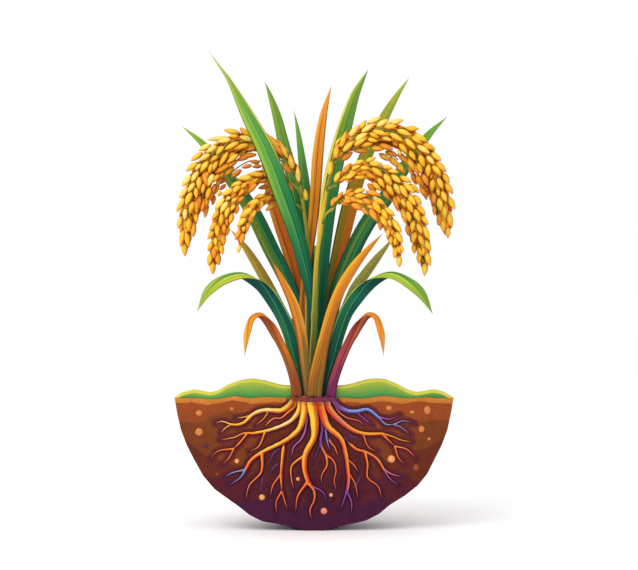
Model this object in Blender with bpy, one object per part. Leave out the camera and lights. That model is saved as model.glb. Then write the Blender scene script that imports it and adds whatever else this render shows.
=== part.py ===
"""Rice clump on a cut block of soil, its roots on the cut face, which looks along -Y. Metres, +Z up."""
import math

import bmesh
import bpy
from mathutils import Vector, noise

# Outlines are drawn as (u, v), u to the right and v down, as seen from EYE on the plane of the cut face.
UNIT = 0.002                 # metres in one drawing unit: the plant is 0.70 m tall above its soil
U0 = 314.0                   # drawing position of x = 0
V0 = 530.7                   # drawing position of z = 0, the flat foot of the clod
EYE = Vector((0.010, -3.540, 0.490))
FACE_Y = -0.020              # the cut face
GAP = 0.0003                 # clearance between pieces that touch

SOIL_TOP_V = 398.0
SOIL_CENTRE_X = 0.001
SOIL_DEPTH = 0.95            # depth of the clod over its half width
LEVELS = [398, 405, 416, 430, 445, 460, 476, 489, 498.5, 507.6, 515, 521.5, 525, 528, 530.7]
BACK_RADIUS = [
    0.270, 0.269, 0.266, 0.260, 0.252, 0.242, 0.229, 0.216, 0.204, 0.193, 0.181, 0.169, 0.161, 0.153, 0.145,
]
ROUND_LEVELS = 8             # levels above the narrowing foot
FLAT_LEVELS = 2              # the lowest levels, without lumps
LUMP = 0.018                 # broad lumps round the back, as a share of the radius
LUMP_TURN = 0.06             # how far the broad lumps turn with each unit down, in radians
HOLLOW = 0.010               # depth of the hollows between the clods of the back
HOLLOW_SCALE = 13.0          # clods in a metre
HOLLOW_FADE = 16.0           # units below the rim, and above the foot, over which the hollows fade out
AROUND = 24                  # steps round the back of the clod
RINGS = 10                   # steps from the crown to the rim
TURF_WAVE = 0.004
SOIL_WAVE = 0.001
EDGE_START = 0.27            # the waves fade out towards this radius
EDGE_WIDTH = 0.05
TURF_THIN = 0.006            # thickness of the turf beside the crown
TURF_DIP = 0.35              # share of the way to the rim over which the turf thins

CROWN_C = Vector((0.001, 0.0))
CROWN_RINGS = [
    (0.0350, 0.0300, 402.6), (0.0445, 0.0400, 401.2), (0.0465, 0.0425, 399.0), (0.0455, 0.0415, 397.2),
]
CROWN_SIDES = 20
CUTTER_GROW = 0.0008         # how far the cutter for the root tops stands off the crown
CUTTER_TOP = 0.02
NOTCH_R = (0.0475, 0.0440)   # the hollow that holds the crown
NOTCH_V = 403.2
FOOT_Z = (V0 - 397.2) * UNIT + 0.0005   # the flat foot of every leaf, just above the crown
CULM_FOOT_Z = FOOT_Z + 0.0008

LEAF_HALF = 0.0009           # half thickness of a blade at its midrib
LEAF_STEPS = 12
TURNED_STEPS = 15
REAR_STEPS = 11
FIRST_TURN = 20              # degrees a turning blade leans the other way as it leaves the clump
ROLL_OVER = (0.40, 0.90)     # the stretch over which a turning blade rolls over
FOLD_OVER = (0.42, 0.60)     # the stretch over which its fold turns inside out
FOLD_OUT = (0.75, 0.95)      # and the stretch over which that fold flattens again
CREST_FOLD = 1.7             # the fold at the crest, over the fold at the foot
TIP_FOLD = 0.5               # and towards the tip
CULM_SIDES = 7
BRANCH_SIDES = 5
CULM_STEPS = 9
BRANCH_STEPS = 4
HEAD_SIDES = 8
HEAD_STEPS = 15
HEAD_BUMP = 0.07
ROOT_SIDES = 6
FORK_SIDES = 5
ROOT_LIFT = 1.02             # distance of a root's middle from the cut face, over its radius
PEBBLE_SINK = 0.0006
PEBBLE_DEPTH = 0.8
POCKET_GROW = 0.0004
ROOT_TOP_V = 402             # roots that start above this line meet the crown
SMOOTH_ANGLE = math.radians(50)

# The cut face: sides of the clod, then the upper lines of the turf and of the soil, left and right.
LEFT_SIDE = [
    (174.6, 398), (177.4, 415), (181, 430), (186.6, 444.7), (194, 459.5), (203.3, 476), (214.4, 489),
    (227.3, 498.4), (240.3, 507.6), (249.5, 515), (262.5, 521.5), (281, 524.6), (295.8, 528), (305, 530.7),
]
RIGHT_SIDE = [
    (453.5, 398), (451, 413.3), (447.4, 430), (441.9, 444.7), (434.5, 459.5), (427, 474.3), (417.8, 485.4),
    (404.9, 495.6), (390, 504.8), (379, 514), (366, 520.6), (355, 523.3), (336.5, 527), (323, 530.7),
]
TURF_LEFT = [
    (174.6, 397.2), (183, 391.9), (193.9, 389.3), (202.5, 390.6), (210, 392.2), (217.7, 390.6),
    (228.5, 384.3), (240.5, 379.9), (252.4, 378.3), (265.4, 380.3), (278.4, 384), (286, 385.3), (294, 385),
]
TURF_RIGHT = [
    (453.5, 397.2), (442.3, 391), (433.6, 389), (424.9, 390.6), (416.2, 392), (407.6, 389.5),
    (396.7, 383.5), (385.9, 379.2), (377.2, 378.1), (366.4, 379.2), (355.5, 382.5), (344.7, 385),
    (335, 385.3),
]
SOIL_LEFT = [
    (174.6, 398), (190, 397.7), (206, 399.2), (219, 398.7), (235, 395.9), (250, 398.3), (267.6, 396.7),
    (283, 397.6), (294, 397.8),
]
SOIL_RIGHT = [
    (453.5, 398), (445.5, 398.4), (429, 397.1), (407.6, 398.4), (384, 395.9), (362, 398.7), (341.4, 397.6),
    (335, 397.8),
]
# Leaves: (y at the foot, y at the tip, power, roll at the tip in degrees, fold, rows of (u, v, width)).
LEAVES = {
    "leaf_front_right": (-0.0375, -0.150, 1.25, 16, -0.14, [
        (314.3, 396.6, 15), (315.6, 382, 15.2), (318.6, 366, 14.2), (322.8, 346, 12), (326.8, 330, 11.2),
        (332.6, 309, 10.8), (341, 288, 10.4), (350, 272.5, 9.6), (359, 260, 8), (370, 247, 5),
        (382.9, 233.4, 0),
    ]),
    "leaf_front_left": (-0.0315, -0.130, 1.25, -16, -0.14, [
        (308.5, 396.6, 8), (307.7, 388, 8.5), (305.3, 367, 9.8), (300.8, 331.4, 10.5), (293.6, 304.6, 9.8),
        (283.2, 282.3, 6.5), (277.5, 271, 3.6), (272.4, 262.2, 0),
    ]),
    "leaf_bent_left": (-0.0275, -0.185, 1.25, 158, -0.20, [
        (297.4, 396.6, 10.5), (295.4, 384, 9.8), (291.6, 370, 8.8), (284.5, 352, 8.2), (275.6, 334.5, 8.4),
        (267.6, 322, 9), (259.6, 316.6, 10), (251.8, 320.4, 9.5), (247.4, 333, 7), (244.6, 355.8, 0),
    ]),
    "leaf_bent_right": (-0.0275, -0.180, 1.25, -158, -0.20, [
        (330.6, 396.6, 10.5), (332.8, 384, 9.6), (337.2, 370, 8.8), (344.6, 351, 9), (354, 333, 8.6),
        (361.5, 322, 9), (369, 316.4, 10), (376.6, 320, 9.5), (381.3, 333, 7), (383.8, 355.5, 0),
    ]),
    "leaf_arch_left": (-0.0215, -0.190, 1.25, 150, -0.19, [
        (303.6, 396.6, 8), (300.8, 380, 11), (294.6, 354, 12), (288.8, 331, 13.2), (282.4, 316, 13.2),
        (271.6, 298, 12.6), (262, 287.2, 12.6), (251, 280.8, 13.4), (238, 277.6, 14.4), (222, 280.6, 13),
        (208, 292, 9), (197.4, 310.9, 0),
    ]),
    "leaf_arch_right": (-0.0215, -0.185, 1.25, -150, -0.19, [
        (323.6, 396.6, 8), (326.8, 380, 11), (332.4, 357, 12), (338.6, 333, 12.8), (345.4, 314, 13.2),
        (354.6, 299.5, 13.2), (366.4, 287, 13.2), (380, 279.4, 13.8), (394.5, 277.2, 14.4),
        (409, 283, 14), (421.6, 294.8, 9.5), (432.6, 313.6, 0),
    ]),
    "leaf_tall_left": (-0.0015, -0.088, 2.0, -14, -0.13, [
        (311.5, 396.6, 8), (312.5, 345, 8), (311.5, 300, 10), (305, 266, 13.5), (294.5, 228, 16.5),
        (281, 190, 18), (267, 153, 17.5), (247.5, 115, 13), (229, 80, 4.5), (218.5, 65, 1.8), (209, 51, 0),
    ]),
    "leaf_tall_right": (0.0050, 0.024, 1.25, 14, 0.13, [
        (320.5, 396.6, 9), (319.5, 330, 10.5), (322.6, 266, 13), (327.5, 209, 17), (333.5, 172, 17),
        (343, 134, 15), (354.6, 96, 9.5), (361.5, 82, 5), (368.2, 69.7, 0),
    ]),
    "leaf_orange_mid": (0.0135, 0.045, 1.25, 12, 0.13, [
        (306.5, 396.6, 8), (303.5, 340, 8.5), (303.8, 300, 8.5), (307, 265, 9), (312, 228, 10),
        (315.6, 190, 11), (318.2, 153, 11), (323.5, 115, 7.5), (331.3, 85.7, 0),
    ]),
    "leaf_wide_right": (0.0110, 0.100, 1.25, 16, 0.14, [
        (329.5, 396.6, 10), (329.5, 330, 12), (339, 285, 14.5), (354.5, 247, 16), (370, 219, 16),
        (387, 196, 15.5), (404, 168, 13), (427.5, 136, 7.5), (447.2, 116.6, 0),
    ]),
    "leaf_wide_left": (0.0190, 0.105, 1.25, -16, 0.14, [
        (302.5, 396.6, 10), (302, 330, 12), (288.5, 285, 15), (270, 247, 16.5), (256.5, 219, 16),
        (245.5, 200, 14.5), (229, 177, 12), (204.5, 145.4, 7.5), (182, 126.2, 0),
    ]),
    "leaf_slim_mid": (0.0195, 0.080, 1.25, -12, 0.13, [
        (313, 396.6, 7), (311, 340, 8), (309, 260, 9.5), (305.6, 190, 10), (302.6, 165, 8.5),
        (298.4, 134, 4.8), (294, 110, 0),
    ]),
    "leaf_olive_back": (0.0180, 0.125, 1.25, 14, 0.14, [
        (325, 396.6, 8), (326, 330, 8.5), (331, 285, 10), (340, 247, 15), (349, 209, 16.5), (357, 180, 15),
        (370, 146, 13), (385.5, 115, 10), (397, 95.5, 5.5), (409.2, 77.6, 0),
    ]),
    "leaf_brown_back": (0.0240, 0.115, 1.25, -14, 0.14, [
        (306.5, 396.6, 7.5), (305.5, 330, 8), (297.3, 285, 10), (287, 247, 12.5), (274, 209, 10),
        (266.5, 181, 6), (261, 156, 0),
    ]),
    "leaf_green_back": (0.0300, 0.175, 1.25, -12, 0.14, [
        (314.5, 396.6, 8), (312.5, 330, 10), (307, 260, 13), (297, 195, 14), (284, 145, 12),
        (276.6, 115, 9), (270.5, 96.5, 5), (264.7, 81.4, 0),
    ]),
    "leaf_low_right": (0.0265, 0.165, 1.25, 18, 0.15, [
        (326, 396.6, 8), (330.5, 362, 8.5), (341, 322, 9.5), (353.6, 291, 10.5), (363, 277, 10),
        (376, 259.5, 8), (386, 247, 4), (395, 235, 0),
    ]),
    "leaf_low_left": (0.0285, 0.165, 1.25, -18, 0.15, [
        (304, 396.6, 8), (298.5, 370, 8.5), (286.5, 322, 9.5), (275, 298, 10.5), (262.8, 275.5, 10),
        (247.5, 250.5, 7), (238.5, 239, 3.6), (230, 228.7, 0),
    ]),
}
# Leaves that lean away behind the clump: (fold, rows of x, y, z, width in metres).
REAR_LEAVES = {
    "leaf_rear_arch": (0.12, [
        (0.0065, 0.0345, 0.2690, 0.011), (0.0070, 0.048, 0.350, 0.021), (0.0080, 0.090, 0.470, 0.027),
        (0.0080, 0.155, 0.560, 0.028), (0.006, 0.225, 0.575, 0.025), (0.003, 0.275, 0.520, 0.016),
        (0.002, 0.297, 0.450, 0),
    ]),
    "leaf_rear_tall": (0.12, [
        (-0.0060, 0.0350, 0.2690, 0.011), (-0.0160, 0.056, 0.390, 0.018), (-0.024, 0.088, 0.530, 0.021),
        (-0.023, 0.138, 0.640, 0.018), (-0.024, 0.186, 0.715, 0),
    ]),
    "leaf_rear_left": (0.12, [
        (-0.0185, 0.0345, 0.2690, 0.010), (-0.027, 0.062, 0.320, 0.018), (-0.034, 0.112, 0.390, 0.024),
        (-0.036, 0.180, 0.425, 0.022), (-0.040, 0.235, 0.398, 0.015), (-0.044, 0.262, 0.345, 0),
    ]),
    "leaf_rear_right": (0.12, [
        (0.0190, 0.0340, 0.2690, 0.010), (0.031, 0.060, 0.315, 0.018), (0.042, 0.108, 0.375, 0.023),
        (0.048, 0.168, 0.392, 0.021), (0.050, 0.215, 0.357, 0.014), (0.047, 0.240, 0.305, 0),
    ]),
}
# Grain heads: (depth of the section over its width, rows of (u, v, half width, y)).
HEADS = {
    "head_right_top": (0.72, [
        (333.8, 163.2, 1.6, -0.0400), (341, 148, 10.5, -0.040), (353, 140.5, 13, -0.040),
        (367.5, 135.5, 16, -0.040), (384, 134.5, 18, -0.038), (402, 138, 18.5, -0.036),
        (417, 148, 18.5, -0.034), (427.5, 163, 17.5, -0.032), (434, 180, 17, -0.030),
        (439.5, 197, 15, -0.028), (443.2, 212, 11.5, -0.028), (446, 226, 7.5, -0.028),
        (447.5, 239, 0, -0.028),
    ]),
    "head_right_mid": (0.72, [
        (337.2, 185.4, 1.2, -0.0615), (345, 175.5, 8.5, -0.075), (356, 171, 10.5, -0.084),
        (368, 170.5, 12, -0.088), (380, 177, 14, -0.090), (392, 187, 15, -0.090), (402.5, 198, 15, -0.088),
        (411, 211, 14.5, -0.086), (417, 226, 13, -0.084), (421, 240, 11, -0.082),
        (423.3, 253, 8.5, -0.080), (424.4, 265, 5.8, -0.080), (424.5, 276, 0, -0.080),
    ]),
    "head_right_low": (0.72, [
        (332.9, 208.2, 1.2, -0.068), (339, 201, 6.5, -0.090), (350, 197.8, 8, -0.112),
        (362, 200, 10, -0.126), (373, 206, 11.5, -0.132), (383, 215.5, 11, -0.134),
        (389.5, 226, 10, -0.134), (394.2, 238, 8.5, -0.132), (397.6, 250, 6, -0.130),
        (399.7, 267.3, 0, -0.128),
    ]),
    "head_left_top": (0.72, [
        (300.1, 184.6, 1.2, 0.0102), (297.5, 174, 5, 0.012), (291.5, 163, 7, 0.014),
        (281, 151.5, 9, 0.016), (268, 143.5, 11, 0.018), (254, 142, 14, 0.018), (240, 144, 16.5, 0.016),
        (226, 150, 18.5, 0.012), (213.5, 161, 19, 0.008), (204, 174, 19, 0.004), (197.5, 188, 18, 0.000),
        (192.5, 202, 17, -0.002), (189, 215, 14.5, -0.004), (186.5, 230, 10.5, -0.004),
        (185, 243, 7, -0.004), (185, 256.6, 0, -0.004),
    ]),
    "head_left_mid": (0.72, [
        (293.1, 183.4, 1.2, -0.0085), (286, 178, 4.5, -0.008), (274, 175, 7.5, -0.007),
        (262, 176, 9, -0.010), (251, 181, 10, -0.024), (241, 188, 11, -0.044), (232, 198, 12, -0.062),
        (226, 209, 12.5, -0.068), (221.5, 221, 12, -0.070), (218.5, 234, 10.5, -0.070),
        (216, 247, 8.5, -0.070), (214.4, 260, 6, -0.068), (213.2, 275, 0, -0.068),
    ]),
    "head_left_low": (0.72, [
        (290.9, 202, 1.1, 0.0025), (278, 197, 6, 0.003), (266, 199.5, 8, -0.006), (256, 205, 8.5, -0.040),
        (249, 213, 9, -0.074), (245, 222, 8, -0.100), (242.4, 232, 6.5, -0.106), (240, 243, 4.5, -0.108),
        (238.5, 253, 0, -0.108),
    ]),
}
# Stalks: lines of (u, v, radius in units, y): the culm, then its side branches.
STALKS = {
    "culm_right": [
        [
            (313, 396.6, 3.0, -0.0130), (312.6, 352, 3.1, -0.0140), (313.8, 330, 3.0, -0.0150),
            (315, 300, 2.8, -0.0170), (316.8, 260, 2.4, -0.0210), (321, 228, 2.1, -0.0260),
            (326.8, 190.5, 1.7, -0.0340), (333.2, 165, 1.2, -0.0400),
        ],
        [
            (321.6, 225, 1.1, -0.0265), (326, 214.5, 1.0, -0.045), (332.2, 208.6, 0.9, -0.066),
        ],
        [
            (326.6, 191.4, 1.1, -0.0340), (331.5, 187.6, 1.0, -0.047), (336.6, 185.6, 0.9, -0.060),
        ],
    ],
    "culm_left": [
        [
            (309, 396.6, 2.4, 0.0050), (308.2, 360, 2.4, 0.0055), (307.6, 320, 2.3, 0.0060),
            (308, 270, 2.1, 0.0070), (307.3, 236, 1.9, 0.0080), (304, 211, 1.6, 0.0090),
            (300.4, 186, 1.2, 0.0100),
        ],
        [
            (304.2, 212, 1.0, 0.0090), (299, 206, 0.9, 0.0060), (291.5, 202.2, 0.8, 0.0030),
        ],
        [
            (302.2, 199, 1.0, 0.0095), (298, 189.5, 0.9, -0.003), (293.6, 184, 0.9, -0.008),
        ],
    ],
}
# Roots: lines of (first radius, last radius, points) in units; later lines fork from the first.
ROOTS = {
    "root_left_top": [
        (2.2, 0.9, [(293, 400), (289, 405.6), (281, 410.5), (270, 410.2), (262.5, 410.5), (253.2, 414.2),
            (244, 422.5), (237, 424.8), (231, 424.4)]),
        (0.9, 0.35, [(231, 424.4), (221.8, 421.4), (215.6, 423.2)]),
        (0.8, 0.35, [(231.5, 424.5), (225.5, 428), (220.6, 433)]),
        (0.95, 0.4, [(252, 415), (244, 417.2), (236, 418)]),
        (1.0, 0.35, [(269, 410.5), (264.3, 418), (255.6, 425.6)]),
    ],
    "root_left_short": [
        (1.2, 0.4, [(296.6, 400), (295, 406), (288.5, 412), (281, 418), (273.6, 418.6), (264.3, 426.6)]),
    ],
    "root_left_upper": [
        (1.9, 1.1, [(300.2, 400), (299.2, 409), (296, 415.5), (288.4, 422.5), (270, 429.9),
            (251.4, 433.6)]),
        (1.1, 0.35, [(252.5, 433.4), (244, 433.2), (234.7, 437.3), (219.9, 440.1)]),
        (1.0, 0.9, [(247, 433.6), (240.5, 442), (232.9, 449.4)]),
        (0.9, 0.35, [(234, 448.8), (218, 451.2), (210.4, 459)]),
        (0.85, 0.35, [(233.8, 448.8), (229.2, 457.7), (222.4, 464.6)]),
        (1.1, 0.4, [(265.5, 431), (258.8, 446.4), (249, 451.4)]),
    ],
    "root_left_lower": [
        (2.8, 1.4, [(305, 400), (304.4, 412), (299.6, 428), (290.2, 437.3), (281, 442.9), (262.5, 452),
            (251.4, 460), (244.9, 470.6)]),
        (1.1, 0.35, [(245.2, 470), (232.9, 472.7), (224.2, 477.4)]),
        (1.1, 0.35, [(245.4, 470.2), (240.3, 477.6), (227.6, 486)]),
        (1.5, 0.4, [(262.2, 453), (261.3, 472), (249.5, 485.4), (245.8, 500.6)]),
    ],
    "root_left_deep": [
        (1.9, 1.1, [(283.6, 447.6), (282.3, 459.5), (280.8, 476.2)]),
        (1.1, 0.35, [(281, 474.6), (273.2, 485), (270, 497.6)]),
        (1.15, 0.9, [(281, 475), (281.9, 492.6)]),
        (0.9, 0.35, [(281.8, 491.6), (276.3, 502), (277, 514)]),
        (0.9, 0.35, [(282, 491.6), (284.8, 501), (287, 509)]),
    ],
    "root_centre": [
        (3.6, 2.0, [(311.6, 400), (314.4, 410), (316, 420.7), (314.3, 437.3), (305.6, 454), (304.6, 468.8),
            (308.7, 483.6)]),
        (1.5, 0.4, [(307.8, 482), (298, 496), (295.4, 512.6)]),
        (1.6, 0.4, [(308.6, 482.6), (314.3, 491), (314.3, 500.2), (310.2, 509.5), (311.5, 519.4)]),
        (0.9, 0.35, [(310.8, 485.8), (323.5, 492.8), (326.8, 505.2)]),
        (1.4, 0.4, [(305.6, 455), (292.4, 465), (291.1, 475), (293.9, 490.6)]),
    ],
    "root_violet": [
        (1.6, 0.5, [(306.4, 423), (305, 432), (300.8, 440), (294, 447), (291.5, 457.4)]),
    ],
    "root_mid_right": [
        (1.4, 1.2, [(322.3, 428), (321.2, 436), (321, 444), (326.6, 456)]),
        (1.1, 0.4, [(326.4, 455), (327.2, 465), (321.9, 475), (321.3, 484)]),
        (1.0, 0.4, [(326, 454.6), (333.6, 460.6), (336.2, 470.6), (334.4, 479.9), (336, 490.4)]),
        (0.8, 0.35, [(320.4, 443), (317.2, 452), (311.8, 466.4)]),
    ],
    "root_blue": [
        (1.4, 0.5, [(326.3, 433), (327.6, 442), (330.6, 451.6)]),
    ],
    "root_orange_short": [
        (1.2, 0.4, [(330.6, 441.6), (334.8, 447), (338.2, 456.6)]),
    ],
    "root_right_deep": [
        (3.3, 1.3, [(319, 400), (321.4, 410), (327.6, 426), (341, 439), (345.7, 454), (347.7, 468.8),
            (348.5, 480), (346.7, 492.8)]),
        (1.0, 0.35, [(346.8, 491.4), (344, 500), (339.9, 510.8)]),
        (1.0, 0.35, [(346.9, 491.6), (351.6, 502), (351.2, 514.4)]),
        (1.0, 0.4, [(346.4, 458.4), (355, 466), (358.4, 473)]),
        (1.0, 0.35, [(348, 472), (355.4, 484), (357.8, 499)]),
    ],
    "root_right_lower": [
        (1.6, 1.1, [(349.6, 443.6), (357, 449.6), (366, 452.1), (377, 459), (384.5, 470.6)]),
        (0.9, 0.35, [(383.8, 469.4), (392, 474.3), (402.6, 476.8)]),
        (0.9, 0.35, [(383.6, 469), (390, 479), (400.8, 485.8)]),
        (1.2, 0.4, [(364.8, 452), (367.4, 464), (367.5, 477.5), (378, 486.4), (381.9, 499)]),
    ],
    "root_right_upper": [
        (2.7, 1.2, [(326.4, 400), (329, 408), (336.5, 417.2), (351.3, 429), (364.2, 433.6),
            (382.7, 433.8)]),
        (1.1, 0.35, [(381.4, 433.6), (392, 436.4), (401.2, 440.1), (412, 441.8)]),
        (1.0, 0.35, [(362.6, 433), (368.4, 447), (377.4, 451.6)]),
        (1.0, 0.9, [(382, 434), (395.6, 447)]),
        (0.9, 0.35, [(394.6, 446.4), (406.7, 449.4), (416.4, 459)]),
        (0.85, 0.35, [(395, 446.6), (398.6, 457.7), (405.2, 464.6)]),
    ],
    "root_right_top": [
        (2.1, 1.0, [(332.8, 400), (338, 406), (347.5, 411), (357, 411.4), (367.9, 409.8), (379, 417.9)]),
        (0.9, 0.35, [(378.2, 417.2), (390, 419), (399.8, 414.6)]),
        (0.9, 0.8, [(378.6, 417.6), (385.5, 424.2), (394.6, 424.8)]),
        (0.8, 0.35, [(393.6, 424.8), (403, 420.9), (414.4, 423.6)]),
        (0.8, 0.35, [(393.8, 424.6), (401.2, 427.4), (410.6, 435)]),
        (0.9, 0.35, [(356.4, 411.6), (363, 418), (372.8, 425.6)]),
    ],
    "root_right_short": [
        (1.2, 0.4, [(339.6, 412.6), (347.5, 418), (358.6, 420.9), (364.6, 425.6)]),
    ],
}
# Pebbles: (u, v, radius across, radius down) in units.
PEBBLES = {
    "pebble_a": (199, 413, 3.4, 3.0), "pebble_b": (199, 432, 3.9, 3.9), "pebble_c": (237, 461, 2.5, 2.5),
    "pebble_d": (262, 497.3, 3.1, 3.1), "pebble_e": (389, 408, 3.0, 2.5),
    "pebble_f": (427.3, 410, 3.4, 4.2), "pebble_g": (421.5, 429, 3.1, 3.4),
    "pebble_h": (391.4, 459, 3.9, 3.9), "pebble_i": (324, 511, 3.4, 3.4), "pebble_j": (206, 446, 3.2, 2.7),
    "pebble_k": (416, 467.4, 2.8, 3.2),
}
LOOKS = {                    # colour and roughness
    "soil": ((0.16, 0.05, 0.03), 0.95),
    "turf": ((0.16, 0.34, 0.10), 0.85),
    "crown": ((0.22, 0.06, 0.08), 0.7),
    "leaf": ((0.07, 0.30, 0.09), 0.5),
    "straw": ((0.80, 0.36, 0.06), 0.55),
    "stalk": ((0.55, 0.45, 0.06), 0.5),
    "grain": ((0.95, 0.52, 0.06), 0.5),
    "root": ((0.90, 0.32, 0.07), 0.6),
    "pebble": ((0.80, 0.34, 0.12), 0.4),
}
STRAW_LEAVES = {
    "leaf_front_right", "leaf_front_left", "leaf_bent_left", "leaf_bent_right", "leaf_orange_mid",
    "leaf_brown_back",
}


def place(u, v, y):
    """The point at depth y that is seen at drawing position (u, v)."""
    k = (y - EYE.y) / (FACE_Y - EYE.y)
    x = EYE.x + ((u - U0) * UNIT - EYE.x) * k
    return Vector((x, y, EYE.z + ((V0 - v) * UNIT - EYE.z) * k))


def smooth(rows, n):
    """n + 1 rows along a smooth line through rows, evenly spaced by the first two columns."""
    far = [0.0]
    for a, b in zip(rows, rows[1:]):
        far.append(far[-1] + math.hypot(b[0] - a[0], b[1] - a[1]))
    last = len(rows) - 1
    out = []
    for i in range(n):
        s = far[-1] * i / n
        k = min(max(j for j in range(len(rows)) if far[j] <= s + 1e-9), last - 1)
        before = max(k - 1, 0)
        after = min(k + 2, last)
        span = far[k + 1] - far[k]
        t = (s - far[k]) / span
        row = []
        for a, b, c, d in zip(rows[before], rows[k], rows[k + 1], rows[after]):
            m1 = (c - a) / (far[k + 1] - far[before]) * span
            m2 = (d - b) / (far[after] - far[k]) * span
            start = (2 * t ** 3 - 3 * t * t + 1) * b + (t ** 3 - 2 * t * t + t) * m1
            row.append(start + (3 * t * t - 2 * t ** 3) * c + (t ** 3 - t * t) * m2)
        out.append(row)
    out.append(list(rows[-1]))
    return out


def between(table, at, key=1):
    """The other column of a two-column table where column key is at, straight between its rows."""
    rows = sorted((r[key], r[1 - key]) for r in table)
    if at <= rows[0][0]:
        return rows[0][1]
    for (a, p), (b, q) in zip(rows, rows[1:]):
        if at <= b:
            return p + (q - p) * (at - a) / (b - a)
    return rows[-1][1]


def finish(name, bm, look, rounded=False):
    bmesh.ops.recalc_face_normals(bm, faces=bm.faces)
    if bm.calc_volume(signed=True) < 0:
        bmesh.ops.reverse_faces(bm, faces=bm.faces)
    mesh = bpy.data.meshes.new(name)
    bm.to_mesh(mesh)
    bm.free()
    if rounded:
        mesh.shade_smooth()
        mesh.set_sharp_from_angle(angle=SMOOTH_ANGLE)
    colour, roughness = LOOKS[look]
    mat = bpy.data.materials.new(name)
    mat.use_nodes = True
    shader = mat.node_tree.nodes["Principled BSDF"]
    shader.inputs["Base Color"].default_value = (*colour, 1)
    shader.inputs["Roughness"].default_value = roughness
    shader.inputs["Metallic"].default_value = 0.0
    mesh.materials.append(mat)
    obj = bpy.data.objects.new(name, mesh)
    bpy.context.scene.collection.objects.link(obj)
    return obj


def combine(target, other, operation):
    """Applies one exact Boolean to target and removes other."""
    mod = target.modifiers.new("cut", "BOOLEAN")
    mod.operation = operation
    mod.solver = "EXACT"
    mod.object = other
    graph = bpy.context.evaluated_depsgraph_get()
    mesh = bpy.data.meshes.new_from_object(target.evaluated_get(graph))
    target.modifiers.clear()
    old = target.data
    mesh.name = old.name
    target.data = mesh
    bpy.data.meshes.remove(old)
    bpy.data.objects.remove(other)


def ring_solid(bm, rings, tip=None):
    """A closed tube through rings of points; a tip closes the last ring with one point."""
    verts = [[bm.verts.new(p) for p in ring] for ring in rings]
    n = len(verts[0])
    bm.faces.new(list(reversed(verts[0])))
    for a, b in zip(verts, verts[1:]):
        for i in range(n):
            bm.faces.new((a[i], a[(i + 1) % n], b[(i + 1) % n], b[i]))
    if tip is None:
        bm.faces.new(verts[-1])
        return
    point = bm.verts.new(tip)
    for i in range(n):
        bm.faces.new((verts[-1][i], verts[-1][(i + 1) % n], point))


def tangents(points):
    last = len(points) - 1
    return [(points[min(i + 1, last)] - points[max(i - 1, 0)]).normalized() for i in range(last + 1)]


def facing(direction):
    """Two directions square to a line: across the drawing, and towards the eye."""
    side = direction.cross(Vector((0, -1, 0))).normalized()
    return side, side.cross(direction).normalized()


def leaf(name, section, look):
    """section: rows of (centre, across, outward, width, fold); both faces share their diagonals."""
    bm = bmesh.new()
    rings = []
    for centre, across, out, width, fold in section[:-1]:
        half = across * width / 2
        mid = centre + out * fold * width
        thick = out * LEAF_HALF
        rings.append([centre - half, mid - thick, centre + half, mid + thick])
    rings[0] = [Vector((p.x, p.y, FOOT_Z)) for p in rings[0]]
    rows = [[bm.verts.new(p) for p in r] for r in rings]
    tip = bm.verts.new(section[-1][0])
    bm.faces.new((rows[0][0], rows[0][3], rows[0][1]))
    bm.faces.new((rows[0][2], rows[0][1], rows[0][3]))
    for a, b in zip(rows, rows[1:]):
        for edge in (0, 2):
            for mid in (1, 3):
                bm.faces.new((a[edge], a[mid], b[mid]))
                bm.faces.new((a[edge], b[mid], b[edge]))
    for edge in (0, 2):
        for mid in (1, 3):
            bm.faces.new((rows[-1][edge], rows[-1][mid], tip))
    return finish(name, bm, look)


def ease(t, low, high):
    share = max(0.0, min(1.0, (t - low) / (high - low)))
    return share * share * (3 - 2 * share)


def roll_angle(roll, t):
    """How far the blade is turned about its own line at t, in radians; past 90 degrees it rolls over."""
    if abs(roll) <= 90:
        return math.radians(roll) * min(1.0, t * 1.6)
    over = ease(t, *ROLL_OVER)
    first = FIRST_TURN * min(1.0, t / 0.25)
    return math.radians(math.copysign(abs(roll) * over - first * (1 - over), roll))


def drawn_leaf(name, base_y, far_y, power, roll, fold, rows):
    """A blade whose outline is drawn; its depth runs from base_y to far_y with t to the given power."""
    turned = abs(roll) > 90
    steps = smooth(rows, TURNED_STEPS if turned else LEAF_STEPS)
    lengths = [0.0]
    for a, b in zip(steps, steps[1:]):
        lengths.append(lengths[-1] + math.hypot(b[0] - a[0], b[1] - a[1]))
    shares = [s / lengths[-1] for s in lengths]
    points = [place(u, v, base_y + (far_y - base_y) * t ** power) for (u, v, _), t in zip(steps, shares)]
    section = []
    for (_, _, width), t, p, d in zip(steps, shares, points, tangents(points)):
        side, toward = facing(d)
        angle = roll_angle(roll, t)
        if turned:
            width *= 1 + 0.1 * min(1.0, t / 0.25)
        else:
            width /= math.cos(angle)
        across = side * math.cos(angle) + toward * math.sin(angle)
        deep = fold * (0.3 + 0.7 * min(1.0, t / 0.3))
        if turned:
            over = (1 + CREST_FOLD) * ease(t, *FOLD_OVER)
            deep *= 1 - over + (CREST_FOLD - TIP_FOLD) * ease(t, *FOLD_OUT)
        section.append((p, across, d.cross(across).normalized(), max(width, 0) * UNIT, deep))
    return leaf(name, section, "straw" if name in STRAW_LEAVES else "leaf")


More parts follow.
